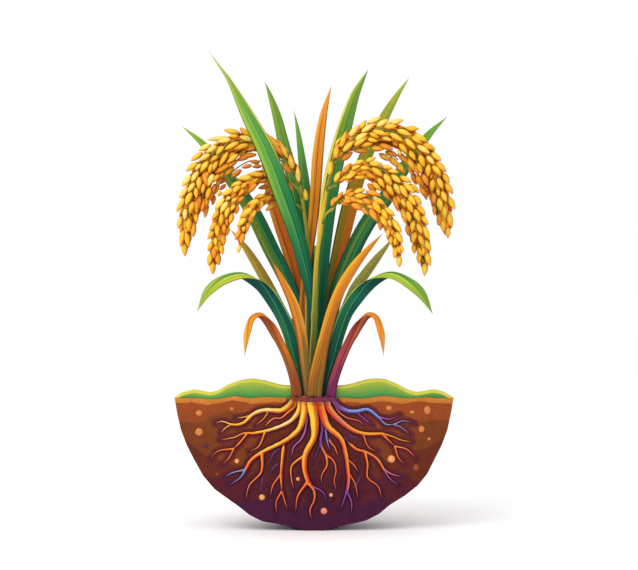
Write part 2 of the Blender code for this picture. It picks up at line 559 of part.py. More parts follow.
def rear_leaf(name, fold, rows):
    steps = smooth([(r[1], r[2], *r) for r in rows], REAR_STEPS)
    points = [Vector(s[2:5]) for s in steps]
    section = []
    for i, (step, p, d) in enumerate(zip(steps, points, tangents(points))):
        level = d.cross(Vector((0, 0, 1)))
        flat = Vector((1, -0.1, 0)) if level.length < 0.3 else level
        across = Vector((1, 0, 0)) * 0.6 + flat.normalized() * math.copysign(0.4, flat.x)
        across = (across - d * across.dot(d)).normalized()
        deep = fold * min(1.0, 0.3 + i / 4)
        section.append((p, across, d.cross(across).normalized(), max(step[5], 0), deep))
    return leaf(name, section, "leaf")


def tube(name, rows, sides, look, squash=1.0, bump=0.0):
    """rows: (centre, radius). The last radius may be 0 for a pointed end."""
    points = [p for p, _ in rows]
    rings = []
    for j, ((p, r), d) in enumerate(zip(rows, tangents(points))):
        side, toward = facing(d)
        start = 0.5 * (j % 2) if bump else 0.0
        ring = []
        for i in range(sides):
            a = 2 * math.pi * (i + start) / sides
            k = r * (1 + (bump if (i + j) % 2 else -bump))
            ring.append(p + side * math.cos(a) * k + toward * math.sin(a) * k * squash)
        rings.append(ring)
    bm = bmesh.new()
    if rows[-1][1] <= 0:
        ring_solid(bm, rings[:-1], points[-1])
    else:
        ring_solid(bm, rings)
    return finish(name, bm, look, rounded=True)


def crown_ring(rx, ry, z, grow):
    ring = []
    for i in range(CROWN_SIDES):
        a = 2 * math.pi * i / CROWN_SIDES
        x = CROWN_C.x + (rx + grow) * math.cos(a)
        ring.append(Vector((x, CROWN_C.y + (ry + grow) * math.sin(a), z)))
    return ring


def crown(name, grow=0.0, top=0.0):
    bm = bmesh.new()
    rings = [crown_ring(rx, ry, (V0 - v) * UNIT, grow) for rx, ry, v in CROWN_RINGS]
    rings[0] = [p - Vector((0, 0, grow)) for p in rings[0]]
    rings[-1] = [p + Vector((0, 0, top)) for p in rings[-1]]
    ring_solid(bm, rings)
    return finish(name, bm, "crown", rounded=True)


def notch_reach(a):
    """How far the crown's notch reaches from the middle of the cut edge, at angle a round the back."""
    rx, ry = NOTCH_R
    c = math.cos(a) / rx
    s = math.sin(a) * SOIL_DEPTH / ry
    q = FACE_Y / ry
    both = c * c + s * s
    return (-s * q + math.sqrt(s * s * q * q - both * (q * q - 1))) / both


def rim_reach(level, a):
    v = LEVELS[level]
    left = SOIL_CENTRE_X - (between(LEFT_SIDE, v) - U0) * UNIT
    right = (between(RIGHT_SIDE, v) - U0) * UNIT - SOIL_CENTRE_X
    side = right + (left - right) * (1 - math.cos(a)) / 2
    power = 1.2 if level < ROUND_LEVELS else 3
    reach = side + (BACK_RADIUS[level] - side) * math.sin(a) ** power
    if level >= len(LEVELS) - FLAT_LEVELS:
        return reach
    return reach * (1 + LUMP * math.sin(a) * math.sin(5 * a + (v - SOIL_TOP_V) * LUMP_TURN))


def flat_point(r, a, z):
    return Vector((SOIL_CENTRE_X + r * math.cos(a), FACE_Y + r * math.sin(a) * SOIL_DEPTH, z))


def clod_point(level, a):
    """A point of the back, sunk in the hollows between its clods."""
    v = LEVELS[level]
    z = (V0 - v) * UNIT
    reach = rim_reach(level, a)
    fade = math.sin(a) * min(1.0, (v - SOIL_TOP_V) / HOLLOW_FADE, (V0 - v) / HOLLOW_FADE)
    depth = HOLLOW * fade * (0.5 + noise.noise(flat_point(reach, a, z) * HOLLOW_SCALE))
    return flat_point(reach - depth, a, z)


def ground(r, a, left, right, wave):
    """Height of a ground surface that keeps to the drawn left and right lines along the cut edge."""
    zl = (V0 - between(left, U0 + (SOIL_CENTRE_X - r) / UNIT, 0)) * UNIT
    zr = (V0 - between(right, U0 + (SOIL_CENTRE_X + r) / UNIT, 0)) * UNIT
    z = zr + (zl - zr) * (1 - math.cos(a)) / 2
    edge = min(1.0, max(0.0, (EDGE_START - r) / EDGE_WIDTH))
    return z + wave * math.sin(a) * edge * math.sin(3 * a + r * 31)


def ground_grid(lift, left, right, wave, dip):
    """Rows of points from the crown to the rim; with dip they sink towards the crown at the back."""
    low = (V0 - SOIL_TOP_V) * UNIT + TURF_THIN
    rows = []
    for i in range(RINGS + 1):
        f = i / RINGS
        row = []
        for j in range(AROUND + 1):
            a = math.pi * j / AROUND
            inner = notch_reach(a)
            r = inner + (rim_reach(0, a) - inner) * f
            z = ground(r, a, left, right, wave) + lift
            if dip:
                z += (low - z) * math.sin(a) ** 0.5 * max(0.0, 1 - f / TURF_DIP)
            row.append(flat_point(r, a, z))
        rows.append(row)
    return rows


def build_turf():
    bm = bmesh.new()
    top = [[bm.verts.new(p) for p in r] for r in ground_grid(0.0, TURF_LEFT, TURF_RIGHT, TURF_WAVE, True)]
    low = [[bm.verts.new(p) for p in r] for r in ground_grid(GAP, SOIL_LEFT, SOIL_RIGHT, SOIL_WAVE, False)]
    for i in range(RINGS):
        for j in range(AROUND):
            bm.faces.new((top[i][j], top[i + 1][j], top[i + 1][j + 1], top[i][j + 1]))
            bm.faces.new((low[i][j], low[i][j + 1], low[i + 1][j + 1], low[i + 1][j]))
        for j in (0, AROUND):
            bm.faces.new((top[i][j], low[i][j], low[i + 1][j], top[i + 1][j]))
    for i in (0, RINGS):
        for j in range(AROUND):
            bm.faces.new((top[i][j], top[i][j + 1], low[i][j + 1], low[i][j]))
    return finish("turf", bm, "turf", rounded=True)


def build_soil():
    angles = [math.pi * j / AROUND for j in range(AROUND + 1)]
    bm = bmesh.new()
    top = [[bm.verts.new(p) for p in r] for r in ground_grid(0.0, SOIL_LEFT, SOIL_RIGHT, SOIL_WAVE, False)]
    for i in range(RINGS):
        for j in range(AROUND):
            bm.faces.new((top[i][j], top[i + 1][j], top[i + 1][j + 1], top[i][j + 1]))
    floor = [bm.verts.new(flat_point(notch_reach(a), a, (V0 - NOTCH_V) * UNIT)) for a in angles]
    for j in range(AROUND):
        bm.faces.new((top[0][j], top[0][j + 1], floor[j + 1], floor[j]))
    bm.faces.new(floor)
    rows = [top[RINGS]]
    for level in range(1, len(LEVELS)):
        rows.append([bm.verts.new(clod_point(level, a)) for a in angles])
    for a, b in zip(rows, rows[1:]):
        for j in range(AROUND):
            bm.faces.new((a[j], b[j], b[j + 1], a[j + 1]))
    bm.faces.new(rows[-1])
    face = [row[0] for row in rows]
    face += [row[AROUND] for row in reversed(rows)]
    face += [top[i][AROUND] for i in range(RINGS - 1, -1, -1)]
    face += [floor[AROUND], floor[0]]
    face += [top[i][0] for i in range(RINGS)]
    bm.faces.new(face)
    return finish("soil", bm, "soil", rounded=True)


def pebble(name, u, v, ru, rv, grow=0.0):
    bm = bmesh.new()
    bmesh.ops.create_uvsphere(bm, u_segments=8, v_segments=5, radius=1.0)
    centre = place(u, v, FACE_Y)
    rx = ru * UNIT + grow
    ry = min(ru, rv) * PEBBLE_DEPTH * UNIT + grow
    rz = rv * UNIT + grow
    for vert in bm.verts:
        x, y, z = vert.co
        vert.co = (centre.x + x * rx, FACE_Y + PEBBLE_SINK + y * ry, centre.z + z * rz)
    return finish(name, bm, "pebble", rounded=True)


def root_line(name, first, last, path, is_main, is_open):
    """One root along its drawn path; an open end is left flat for its forks."""
    n = max(2, len(path) - is_main)
    rows = []
    for i, (u, v) in enumerate(smooth(path, n)):
        r = (first + (last - first) * (i / n) ** 0.8) * UNIT
        rows.append((place(u, v, FACE_Y - GAP - r * ROOT_LIFT), r))
    if not is_open:
        rows[-1] = (rows[-1][0], 0)
    return tube(name, rows, ROOT_SIDES if is_main else FORK_SIDES, "root")


def root(name, lines):
    whole = root_line(name, *lines[0], True, len(lines) > 1)
    for k, line in enumerate(lines[1:], 1):
        combine(whole, root_line(f"{name}_fork_{k}", *line, False, False), "UNION")
    if lines[0][2][0][1] < ROOT_TOP_V:
        combine(whole, crown("cutter", CUTTER_GROW, CUTTER_TOP), "DIFFERENCE")
    return whole


def stalk(name, lines):
    whole = None
    for k, line in enumerate(lines):
        steps = smooth(line, BRANCH_STEPS if k else CULM_STEPS)
        rows = [(place(u, v, y), r * UNIT) for u, v, r, y in steps]
        if k:
            branch = tube(f"{name}_branch_{k}", rows, BRANCH_SIDES, "stalk")
            combine(whole, branch, "UNION")
        else:
            rows[0][0].z = CULM_FOOT_Z
            whole = tube(name, rows, CULM_SIDES, "stalk")
    return whole


def head(name, squash, rows):
    steps = [(place(u, v, y), max(r, 0) * UNIT) for u, v, r, y in smooth(rows, HEAD_STEPS)]
    return tube(name, steps, HEAD_SIDES, "grain", squash, HEAD_BUMP)


for obj in list(bpy.data.objects):
    bpy.data.objects.remove(obj)

soil = build_soil()
for name, (u, v, ru, rv) in PEBBLES.items():
    pebble(name, u, v, ru, rv)
    combine(soil, pebble(name + "_pocket", u, v, ru, rv, POCKET_GROW), "DIFFERENCE")
build_turf()
crown("crown")
for name, (base_y, far_y, power, roll, fold, rows) in LEAVES.items():
    drawn_leaf(name, base_y, far_y, power, roll, fold, rows)
for name, (fold, rows) in REAR_LEAVES.items():
    rear_leaf(name, fold, rows)
for name, lines in STALKS.items():
    stalk(name, lines)
for name, (squash, rows) in HEADS.items():
    head(name, squash, rows)
for name, lines in ROOTS.items():
    root(name, lines)
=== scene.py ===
import math
import random

import bmesh
import bpy
from mathutils import Matrix, Vector, kdtree, noise


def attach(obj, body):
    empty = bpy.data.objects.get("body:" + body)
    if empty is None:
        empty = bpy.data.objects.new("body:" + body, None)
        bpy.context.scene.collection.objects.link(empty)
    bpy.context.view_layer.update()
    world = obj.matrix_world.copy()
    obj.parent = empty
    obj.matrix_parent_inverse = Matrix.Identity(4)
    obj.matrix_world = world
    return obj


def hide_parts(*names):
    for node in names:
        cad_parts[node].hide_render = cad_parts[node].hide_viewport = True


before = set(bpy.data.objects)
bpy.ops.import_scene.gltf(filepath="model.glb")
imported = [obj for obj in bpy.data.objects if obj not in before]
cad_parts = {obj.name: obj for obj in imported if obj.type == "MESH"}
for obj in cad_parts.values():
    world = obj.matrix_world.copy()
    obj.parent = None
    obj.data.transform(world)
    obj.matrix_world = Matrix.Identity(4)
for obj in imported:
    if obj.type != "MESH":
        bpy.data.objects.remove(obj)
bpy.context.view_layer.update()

dice = random.Random(11)

# Camera, light and floor: the drawing is one unit of 2 mm on the cut face, seen from the camera's place.
unit = 0.002
drawZero = (314.0, 530.7)        # drawing position of x = 0, z = 0
faceY = -0.020                   # the cut face of the soil
eye = Vector((0.010, -3.540, 0.490))
studio = {
    "lens": 99.31, "sensor": 36.0, "shift": 0.0011, "far": 600.0, "sky": 1.0, "lampPower": 60.0,
    "lampSize": 2.6, "lampPlace": (-1.7, -2.3, 2.5), "lampAim": (0.0, 0.0, 0.45), "gain": 0.80,
    "floorSize": 500.0, "floorColour": (0.99, 0.99, 0.99, 1),
}


def place(u, v, y):
    # the point at depth y that the camera sees at drawing position (u, v)
    k = (y - eye.y) / (faceY - eye.y)
    x = eye.x + ((u - drawZero[0]) * unit - eye.x) * k
    return Vector((x, y, eye.z + ((drawZero[1] - v) * unit - eye.z) * k))


def drawnAt(point):
    # the drawing position of a point
    k = (point.y - eye.y) / (faceY - eye.y)
    u = (eye.x + (point.x - eye.x) / k) / unit + drawZero[0]
    return u, drawZero[1] - (eye.z + (point.z - eye.z) / k) / unit


def rowsOf(text):
    # "1,2 3,4" as rows of numbers
    return [tuple(float(n) for n in row.split(",")) for row in text.split()]


def linesOf(text):
    # several lines of rows, with a bar between them
    return [rowsOf(line) for line in text.split("|")]


def tableOf(parse, table):
    return {name: parse(text) for name, text in table.items()}


def stopsOf(words):
    # "0.3:14624a" as a place on a ramp and its colour
    pairs = [word.split(":") for word in words]
    return [(float(at), tuple(bytes.fromhex(colour))) for at, colour in pairs]


def smoothLine(rows, n):
    # n + 1 rows on a smooth line through rows, evenly spaced by the first two columns
    far = [0.0]
    for a, b in zip(rows, rows[1:]):
        far.append(far[-1] + math.hypot(b[0] - a[0], b[1] - a[1]))
    last = len(rows) - 1
    out = []
    for i in range(n):
        s = far[-1] * i / n
        k = min(max(j for j in range(len(rows)) if far[j] <= s + 1e-9), last - 1)
        before, after = max(k - 1, 0), min(k + 2, last)
        span = far[k + 1] - far[k]
        t = (s - far[k]) / span
        row = []
        for a, b, c, d in zip(rows[before], rows[k], rows[k + 1], rows[after]):
            m1 = (c - a) / (far[k + 1] - far[before]) * span
            m2 = (d - b) / (far[after] - far[k]) * span
            start = (2 * t ** 3 - 3 * t * t + 1) * b + (t ** 3 - 2 * t * t + t) * m1
            row.append(start + (3 * t * t - 2 * t ** 3) * c + (t ** 3 - t * t) * m2)
        out.append(row)
    out.append(list(rows[-1]))
    return out


def between(rows, at, key=1):
    # the other column of a two-column table where column key is at
    table = sorted((r[key], r[1 - key]) for r in rows)
    if at <= table[0][0]:
        return table[0][1]
    for (a, p), (b, q) in zip(table, table[1:]):
        if at <= b:
            return p + (q - p) * (at - a) / (b - a)
    return table[-1][1]


def ease(value, low, high):
    t = max(0.0, min(1.0, (value - low) / (high - low)))
    return t * t * (3 - 2 * t)


def rounded(share):
    # height of a half circle at a share of its radius
    return math.sqrt(max(0.0, 1 - share ** 2))


def blended(a, b, share):
    return [p + (q - p) * share for p, q in zip(a, b)]


def tangents(points):
    last = len(points) - 1
    return [(points[min(i + 1, last)] - points[max(i - 1, 0)]).normalized() for i in range(last + 1)]


def facing(direction):
    # two directions square to a line: across the drawing, and towards the camera
    side = direction.cross(Vector((0, -1, 0))).normalized()
    return side, side.cross(direction).normalized()


def newShape():
    shape = bmesh.new()
    shape.loops.layers.uv.new("UVMap")
    shape.verts.layers.float_color.new("paint")
    return shape


def meshOf(shape, name):
    mesh = bpy.data.meshes.new(name)
    shape.to_mesh(mesh)
    shape.free()
    return mesh


def pour(shape, target):
    # move one shape's faces into another
    mesh = meshOf(shape, "poured")
    target.from_mesh(mesh)
    bpy.data.meshes.remove(mesh)


def addPatch(target, across, along, where, shift=0.0, colour=None):
    # a grid bent by where(s, t), both 0 to 1; colour(s, t) fills the paint attribute
    grid = newShape()
    bmesh.ops.create_grid(grid, x_segments=across, y_segments=along, size=0.5, calc_uvs=True)
    layer = grid.verts.layers.float_color["paint"]
    for vert in grid.verts:
        s, t = vert.co.x + 0.5, vert.co.y + 0.5
        if colour:
            vert[layer] = colour(s, t)
        vert.co = where(s, t)
    if shift:
        sheet = grid.loops.layers.uv["UVMap"]
        for face in grid.faces:
            for loop in face.loops:
                loop[sheet].uv.x += shift
    pour(grid, target)


def addTube(target, rows, sides, colour=None, mirror=False):
    # a closed tube through (centre, radius) rows, rounded at both ends
    (p0, r0), (p1, _), (p8, _), (p9, r9) = rows[0], rows[1], rows[-2], rows[-1]
    full = [(p0 - (p1 - p0).normalized() * r0 * 0.6, 0.0)] + list(rows)
    if r9 > 0:
        full.append((p9 + (p9 - p8).normalized() * r9 * 0.8, 0.0))
    last = len(full) - 1
    ways = [facing(d) for d in tangents([p for p, _ in full])]

    def where(s, t):
        i = round(t * last)
        (p, r), (side, toward) = full[i], ways[i]
        a = math.pi * (1 - 2 * s) if mirror else 2 * math.pi * s
        return p + side * math.cos(a) * r + toward * math.sin(a) * r

    addPatch(target, sides, last, where, colour=colour)


def putObject(name, data):
    made = bpy.data.objects.new(name, data)
    bpy.context.scene.collection.objects.link(made)
    return made


def pieceName(start, node):
    # "blade" and "leaf_front_left" make bladeFrontLeft
    return start + "".join(word.capitalize() for word in node.split("_")[1:])


def makePiece(name, shape, paint, slotName, *nodes, weld=1e-6, turn=True):
    bmesh.ops.remove_doubles(shape, verts=shape.verts, dist=weld)
    bmesh.ops.dissolve_degenerate(shape, edges=shape.edges, dist=1e-7)
    if turn:
        bmesh.ops.recalc_face_normals(shape, faces=shape.faces)
        if shape.calc_volume(signed=True) < 0:
            bmesh.ops.reverse_faces(shape, faces=shape.faces)
    mesh = meshOf(shape, name)
    mesh.shade_smooth()
    mesh.materials.append(paint)
    piece = putObject(name, mesh)
    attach(piece, "root")
    if nodes:
        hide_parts(*nodes)


def tint(colour):
    # screen values 0 to 255 as light, for a material
    light = [c / 255 / 12.92 if c <= 10 else ((c / 255 + 0.055) / 1.055) ** 2.4 for c in colour]
    return [studio["gain"] * c for c in light] + [1.0]


sockets = {
    "rough": "Roughness", "gloss": "Specular IOR Level", "coat": "Coat Weight",
    "coatRough": "Coat Roughness", "sheen": "Sheen Weight",
}


class Paint:
    # a material and short ways to add its nodes
    def __init__(self, name, **values):
        self.material = bpy.data.materials.new(name)
        self.material.use_nodes = True
        self.tree = self.material.node_tree
        self.shader = self.tree.nodes["Principled BSDF"]
        for key, value in values.items():
            self.shader.inputs[sockets[key]].default_value = value

    def node(self, kind, inputs=None, **settings):
        made = self.tree.nodes.new("ShaderNode" + kind)
        for key, value in settings.items():
            setattr(made, key, value)
        for key, value in (inputs or {}).items():
            if isinstance(value, bpy.types.NodeSocket):
                self.tree.links.new(value, made.inputs[key])
            else:
                made.inputs[key].default_value = value
        return made

    def maths(self, operation, a, b=0.0):
        return self.node("Math", {0: a, 1: b}, operation=operation).outputs[0]

    def times(self, a, b):
        return self.maths("MULTIPLY", a, b)

    def plus(self, a, b):
        return self.maths("ADD", a, b)

    def less(self, a, b):
        return self.maths("SUBTRACT", a, b)

    def step(self, value, edge, soft):
        # 0 below the edge, 1 above it
        span = {"Value": value, "From Min": edge - soft, "From Max": edge + soft}
        return self.node("MapRange", span, interpolation_type="SMOOTHSTEP").outputs[0]

    def below(self, value, edge, soft):
        return self.less(1.0, self.step(value, edge, soft))

    def band(self, value, low, high, soft):
        return self.less(self.step(value, low, soft), self.step(value, high, soft))

    def ramp(self, value, stops):
        made = self.node("ValToRGB", {"Fac": value})
        bar = made.color_ramp.elements
        stops = stopsOf(stops.split()) if isinstance(stops, str) else stops
        while len(bar) < len(stops):
            bar.new(0.5)
        for element, (at, colour) in zip(bar, stops):
            element.position = at
            element.color = tint(colour)
        return made.outputs["Color"]

    def mix(self, share, a, b, kind="MIX"):
        made = self.node("Mix", {0: share, 6: a, 7: b}, data_type="RGBA", blend_type=kind)
        return made.outputs[2]

    def cover(self, colour, other, share, most):
        # other lies over colour where share is 1, most strong
        return self.mix(self.times(share, most), colour, other)

    def noise(self, where, scale, detail=3.0):
        return self.node("TexNoise", {"Vector": where, "Scale": scale, "Detail": detail}).outputs["Fac"]

    def sway(self, value, size):
        # a noise as a push to either side
        return self.times(self.less(value, 0.5), size)

    def stretched(self, x, wide, y, seed=0.0):
        # coordinates for a noise drawn out along y
        return self.node("CombineXYZ", {"X": self.times(x, wide), "Y": y, "Z": seed}).outputs[0]

    def here(self, scale=(1.0, 1.0, 1.0)):
        spot = self.node("TexCoord").outputs["Object"]
        return self.node("Mapping", {"Vector": spot, "Scale": scale}).outputs[0]

    def split(self, vector):
        return self.node("SeparateXYZ", {0: vector}).outputs

    def uv(self):
        return self.split(self.node("UVMap", uv_map="UVMap").outputs[0])[:2]

    def attribute(self):
        return self.node("Attribute", attribute_name="paint").outputs["Color"]

    def shade(self, colour, value, dark, light):
        # colour made darker where value is low and lighter where it is high
        span = {"Value": value, "From Min": 0.3, "From Max": 0.7, "To Min": dark, "To Max": light}
        return self.mix(1.0, colour, self.node("MapRange", span).outputs[0], "MULTIPLY")

    def finish(self, colour, height=None, depth=0.0003, strength=0.6):
        self.tree.links.new(colour, self.shader.inputs["Base Color"])
        if height is not None:
            bump = self.node("Bump", {"Height": height, "Distance": depth, "Strength": strength})
            self.tree.links.new(bump.outputs[0], self.shader.inputs["Normal"])
        return self.material


def setStudio():
    scene = bpy.context.scene
    scene.view_settings.view_transform = "Standard"
    camera = putObject("camera", bpy.data.cameras.new("camera"))
    camera.data.lens = studio["lens"]
    camera.data.sensor_width = studio["sensor"]
    camera.data.shift_y = studio["shift"]
    camera.data.clip_end = studio["far"]
    camera.location = eye
    camera.rotation_euler = (math.radians(90), 0, 0)
    scene.camera = camera
    scene.world = bpy.data.worlds.new("sky")
    scene.world.use_nodes = True
    sky = scene.world.node_tree.nodes["Background"].inputs
    sky["Color"].default_value = (1, 1, 1, 1)
    sky["Strength"].default_value = studio["sky"]
    lamp = putObject("lamp", bpy.data.lights.new("lamp", "AREA"))
    lamp.data.energy = studio["lampPower"]
    lamp.data.size = studio["lampSize"]
    lamp.location = studio["lampPlace"]
    lamp.rotation_euler = (Vector(studio["lampAim"]) - lamp.location).to_track_quat("-Z", "Y").to_euler()
    ground = bmesh.new()
    bmesh.ops.create_grid(ground, x_segments=1, y_segments=1, size=studio["floorSize"] / 2)
    mesh = meshOf(ground, "floor")
    paint = Paint("floor", rough=0.9, gloss=0.0)
    paint.shader.inputs["Base Color"].default_value = studio["floorColour"]
    mesh.materials.append(paint.material)
    floor = putObject("floor", mesh)


setStudio()
print("camera, light and floor are set")


def rootsOf(text):
    # (first radius, last radius, points) for each line
    return [(*radii, path) for radii, *path in linesOf(text)]


# Roots: each line has its first and last radius, then its points; later lines fork from the first.
rootLines = tableOf(rootsOf, {
    "root_left_top": """
    2.2,0.9 293,400 289,405.6 281,410.5 270,410.2 262.5,410.5 253.2,414.2 244,422.5 237,424.8 231,424.4 |
    0.9,0.35 231,424.4 221.8,421.4 215.6,423.2 | 0.8,0.35 231.5,424.5 225.5,428 220.6,433 | 0.95,0.4
    252,415 244,417.2 236,418 | 1,0.35 269,410.5 264.3,418 255.6,425.6
    """,
    "root_left_short": "1.2,0.4 296.6,400 295,406 288.5,412 281,418 273.6,418.6 264.3,426.6",
    "root_left_upper": """
    1.9,1.1 300.2,400 299.2,409 296,415.5 288.4,422.5 270,429.9 251.4,433.6 | 1.1,0.35 252.5,433.4
    244,433.2 234.7,437.3 219.9,440.1 | 1,0.9 247,433.6 240.5,442 232.9,449.4 | 0.9,0.35 234,448.8
    218,451.2 210.4,459 | 0.85,0.35 233.8,448.8 229.2,457.7 222.4,464.6 | 1.1,0.4 265.5,431 258.8,446.4
    249,451.4
    """,
    "root_left_lower": """
    2.8,1.4 305,400 304.4,412 299.6,428 290.2,437.3 281,442.9 262.5,452 251.4,460 244.9,470.6 | 1.1,0.35
    245.2,470 232.9,472.7 224.2,477.4 | 1.1,0.35 245.4,470.2 240.3,477.6 227.6,486 | 1.5,0.4 262.2,453
    261.3,472 249.5,485.4 245.8,500.6
    """,
    "root_left_deep": """
    1.9,1.1 284.3,443.6 283.4,449 282.3,459.5 280.8,476.2 | 1.1,0.35 281,474.6 273.2,485 270,497.6 |
    1.15,0.9 281,475 281.9,492.6 | 0.9,0.35 281.8,491.6 276.3,502 277,514 | 0.9,0.35 282,491.6 284.8,501
    287,509
    """,
    "root_centre": """
    3.9,2 311.2,400 312.9,410 314.6,420.7 313.8,437.3 305.6,454 304.6,468.8 308.7,483.6 | 1.5,0.4 307.8,482
    298,496 295.4,512.6 | 1.6,0.4 308.6,482.6 314.3,491 314.3,500.2 310.2,509.5 311.5,519.4 | 0.9,0.35
    310.8,485.8 323.5,492.8 326.8,505.2 | 1.4,0.4 305.6,455 292.4,465 291.1,475 293.9,490.6
    """,
    "root_violet": "1.6,0.5 308.2,412 307.4,418 306.4,424 305,432 300.8,440 294,447 291.5,457.4",
    "root_mid_right": """
    1.4,1.2 319.6,415 321.3,421 322.3,428 321.2,436 321,444 326.6,456 | 1.1,0.4 326.4,455 327.2,465
    321.9,475 321.3,484 | 1,0.4 326,454.6 333.6,460.6 336.2,470.6 334.4,479.9 336,490.4 | 0.8,0.35
    320.4,443 317.2,452 311.8,466.4
    """,
    "root_blue": "1.4,0.5 325.2,427.5 326.3,433 327.6,442 330.6,451.6",
    "root_orange_short": "1.2,0.4 328.8,437.5 330.8,442 334.8,447 338.2,456.6",
    "root_right_deep": """
    3.3,1.3 319,400 321.4,410 327.6,426 341,439 345.7,454 347.7,468.8 348.5,480 346.7,492.8 | 1,0.35
    346.8,491.4 344,500 339.9,510.8 | 1,0.35 346.9,491.6 351.6,502 351.2,514.4 | 1,0.4 346.4,458.4 355,466
    358.4,473 | 1,0.35 348,472 355.4,484 357.8,499
    """,
    "root_right_lower": """
    1.6,1.1 347,441.2 350.6,444.6 357,449.6 366,452.1 377,459 384.5,470.6 | 0.9,0.35 383.8,469.4 392,474.3
    402.6,476.8 | 0.9,0.35 383.6,469 390,479 400.8,485.8 | 1.2,0.4 364.8,452 367.4,464 367.5,477.5
    378,486.4 381.9,499
    """,
    "root_right_upper": """
    2.7,1.2 326.4,400 329,408 336.5,417.2 351.3,429 364.2,433.6 382.7,433.8 | 1.1,0.35 381.4,433.6
    392,436.4 401.2,440.1 412,441.8 | 1,0.35 362.6,433 368.4,447 377.4,451.6 | 1,0.9 382,434 395.6,447 |
    0.9,0.35 394.6,446.4 406.7,449.4 416.4,459 | 0.85,0.35 395,446.6 398.6,457.7 405.2,464.6
    """,
    "root_right_top": """
    2.1,1 332.8,400 338,406 347.5,411 357,411.4 367.9,409.8 379,417.9 | 0.9,0.35 378.2,417.2 390,419
    399.8,414.6 | 0.9,0.8 378.6,417.6 385.5,424.2 394.6,424.8 | 0.8,0.35 393.6,424.8 403,420.9 414.4,423.6
    | 0.8,0.35 393.8,424.6 401.2,427.4 410.6,435 | 0.9,0.35 356.4,411.6 363,418 372.8,425.6
    """,
    "root_right_short": "1.3,0.4 333.6,403 336.4,408.6 340.6,413.6 347.5,418 358.6,420.9 364.6,425.6",
})
# Colours along each root line, from its start to its end, in the order of rootLines.
rootColours = {
    "cream": (255, 232, 165), "yellow": (255, 206, 52), "gold": (252, 172, 40), "orange": (250, 130, 34),
    "red": (248, 84, 40), "pink": (232, 92, 96), "magenta": (190, 80, 165), "purple": (128, 66, 152),
    "violet": (92, 60, 120), "blue": (105, 145, 220), "grey": (130, 152, 185), "brown": (150, 78, 48),
    "plum": (120, 60, 100), "rose": (200, 100, 105), "rust": (226, 92, 44),
}
rootHues = {
    "root_left_top": """
    brown yellow cream yellow gold | yellow cream | gold cream | yellow gold cream | gold orange gold
    """,
    "root_left_short": "brown orange rose gold",
    "root_left_upper": """
    brown yellow cream cream yellow gold | orange gold | orange red | orange red | orange red | gold orange
    orange
    """,
    "root_left_lower": """
    orange yellow yellow gold yellow orange red | grey blue | grey purple | orange orange red pink
    """,
    "root_left_deep": "gold orange red | red red | orange red | red pink | red orange",
    "root_centre": """
    gold yellow yellow gold orange red | red red | orange red pink | magenta purple purple | gold orange
    orange red
    """,
    "root_violet": "purple magenta magenta magenta",
    "root_mid_right": "plum purple purple orange | orange red | orange red red | violet violet",
    "root_blue": "purple blue violet",
    "root_orange_short": "magenta orange red",
    "root_right_deep": """
    brown red gold orange orange red purple | purple purple | purple magenta | orange red | red red
    """,
    "root_right_lower": "gold rust rust orange red | pink magenta | magenta purple | orange orange red red",
    "root_right_upper": """
    plum rust rose orange gold orange | orange orange gold | orange red orange | orange red | orange pink |
    orange red
    """,
    "root_right_top": """
    plum purple blue blue blue | magenta purple | blue grey | grey purple | grey magenta | purple magenta
    """,
    "root_right_short": "plum rose pink magenta",
}
# Short roots that are hardly more than shadows.
faintRoots = rootsOf("""
    1.5,0.6 281,447 274,453 269,463 | 1.3,0.6 280,463 274,467 270,473 | 1.3,0.5 347,433.4 354,437.4
    362,439.6 | 1,0.5 262.8,475 262,483 260,491 | 1.4,0.8 344,436 347,440 349,443 | 1.2,0.5 360,476 357,484
    352,488
""")
rootLook = {
    "sides": 14, "faintSides": 10, "faintBack": 0.9, "lift": 1.02, "gap": 0.0003, "knots": 0.07,
    "flare": 1.35, "flareSteps": 6, "thinStart": 0.1, "startShare": 0.16, "endSteps": 5, "mirrorFrom": 12,
    # roots from the crown start at topV under the blades and bend over the collar at bendV
    "crownV": 402, "topV": 397.2, "topPull": 0.93, "bendV": 400.6, "bendShare": 0.1, "outV": 402.4,
    "faceV": 405, "standOut": 0.45, "topOut": 0.9, "topLength": 5.0,
    # they are thicker down to widenTo than their solids
    "widen": 0.40, "widenFrom": 410, "widenTo": 446,
    # their colour at the collar, from the left roots to the right ones, and where it changes
    "topHues": ((136, 62, 46), (118, 44, 84)), "topHueSpan": (296, 330),
}
crownSquash = 0.915              # depth of the collar over its width
crownEdge = rowsOf("0.044,396.8 0.0455,397.2 0.0465,399 0.0445,401.2 0.035,402.6 0.03,404")


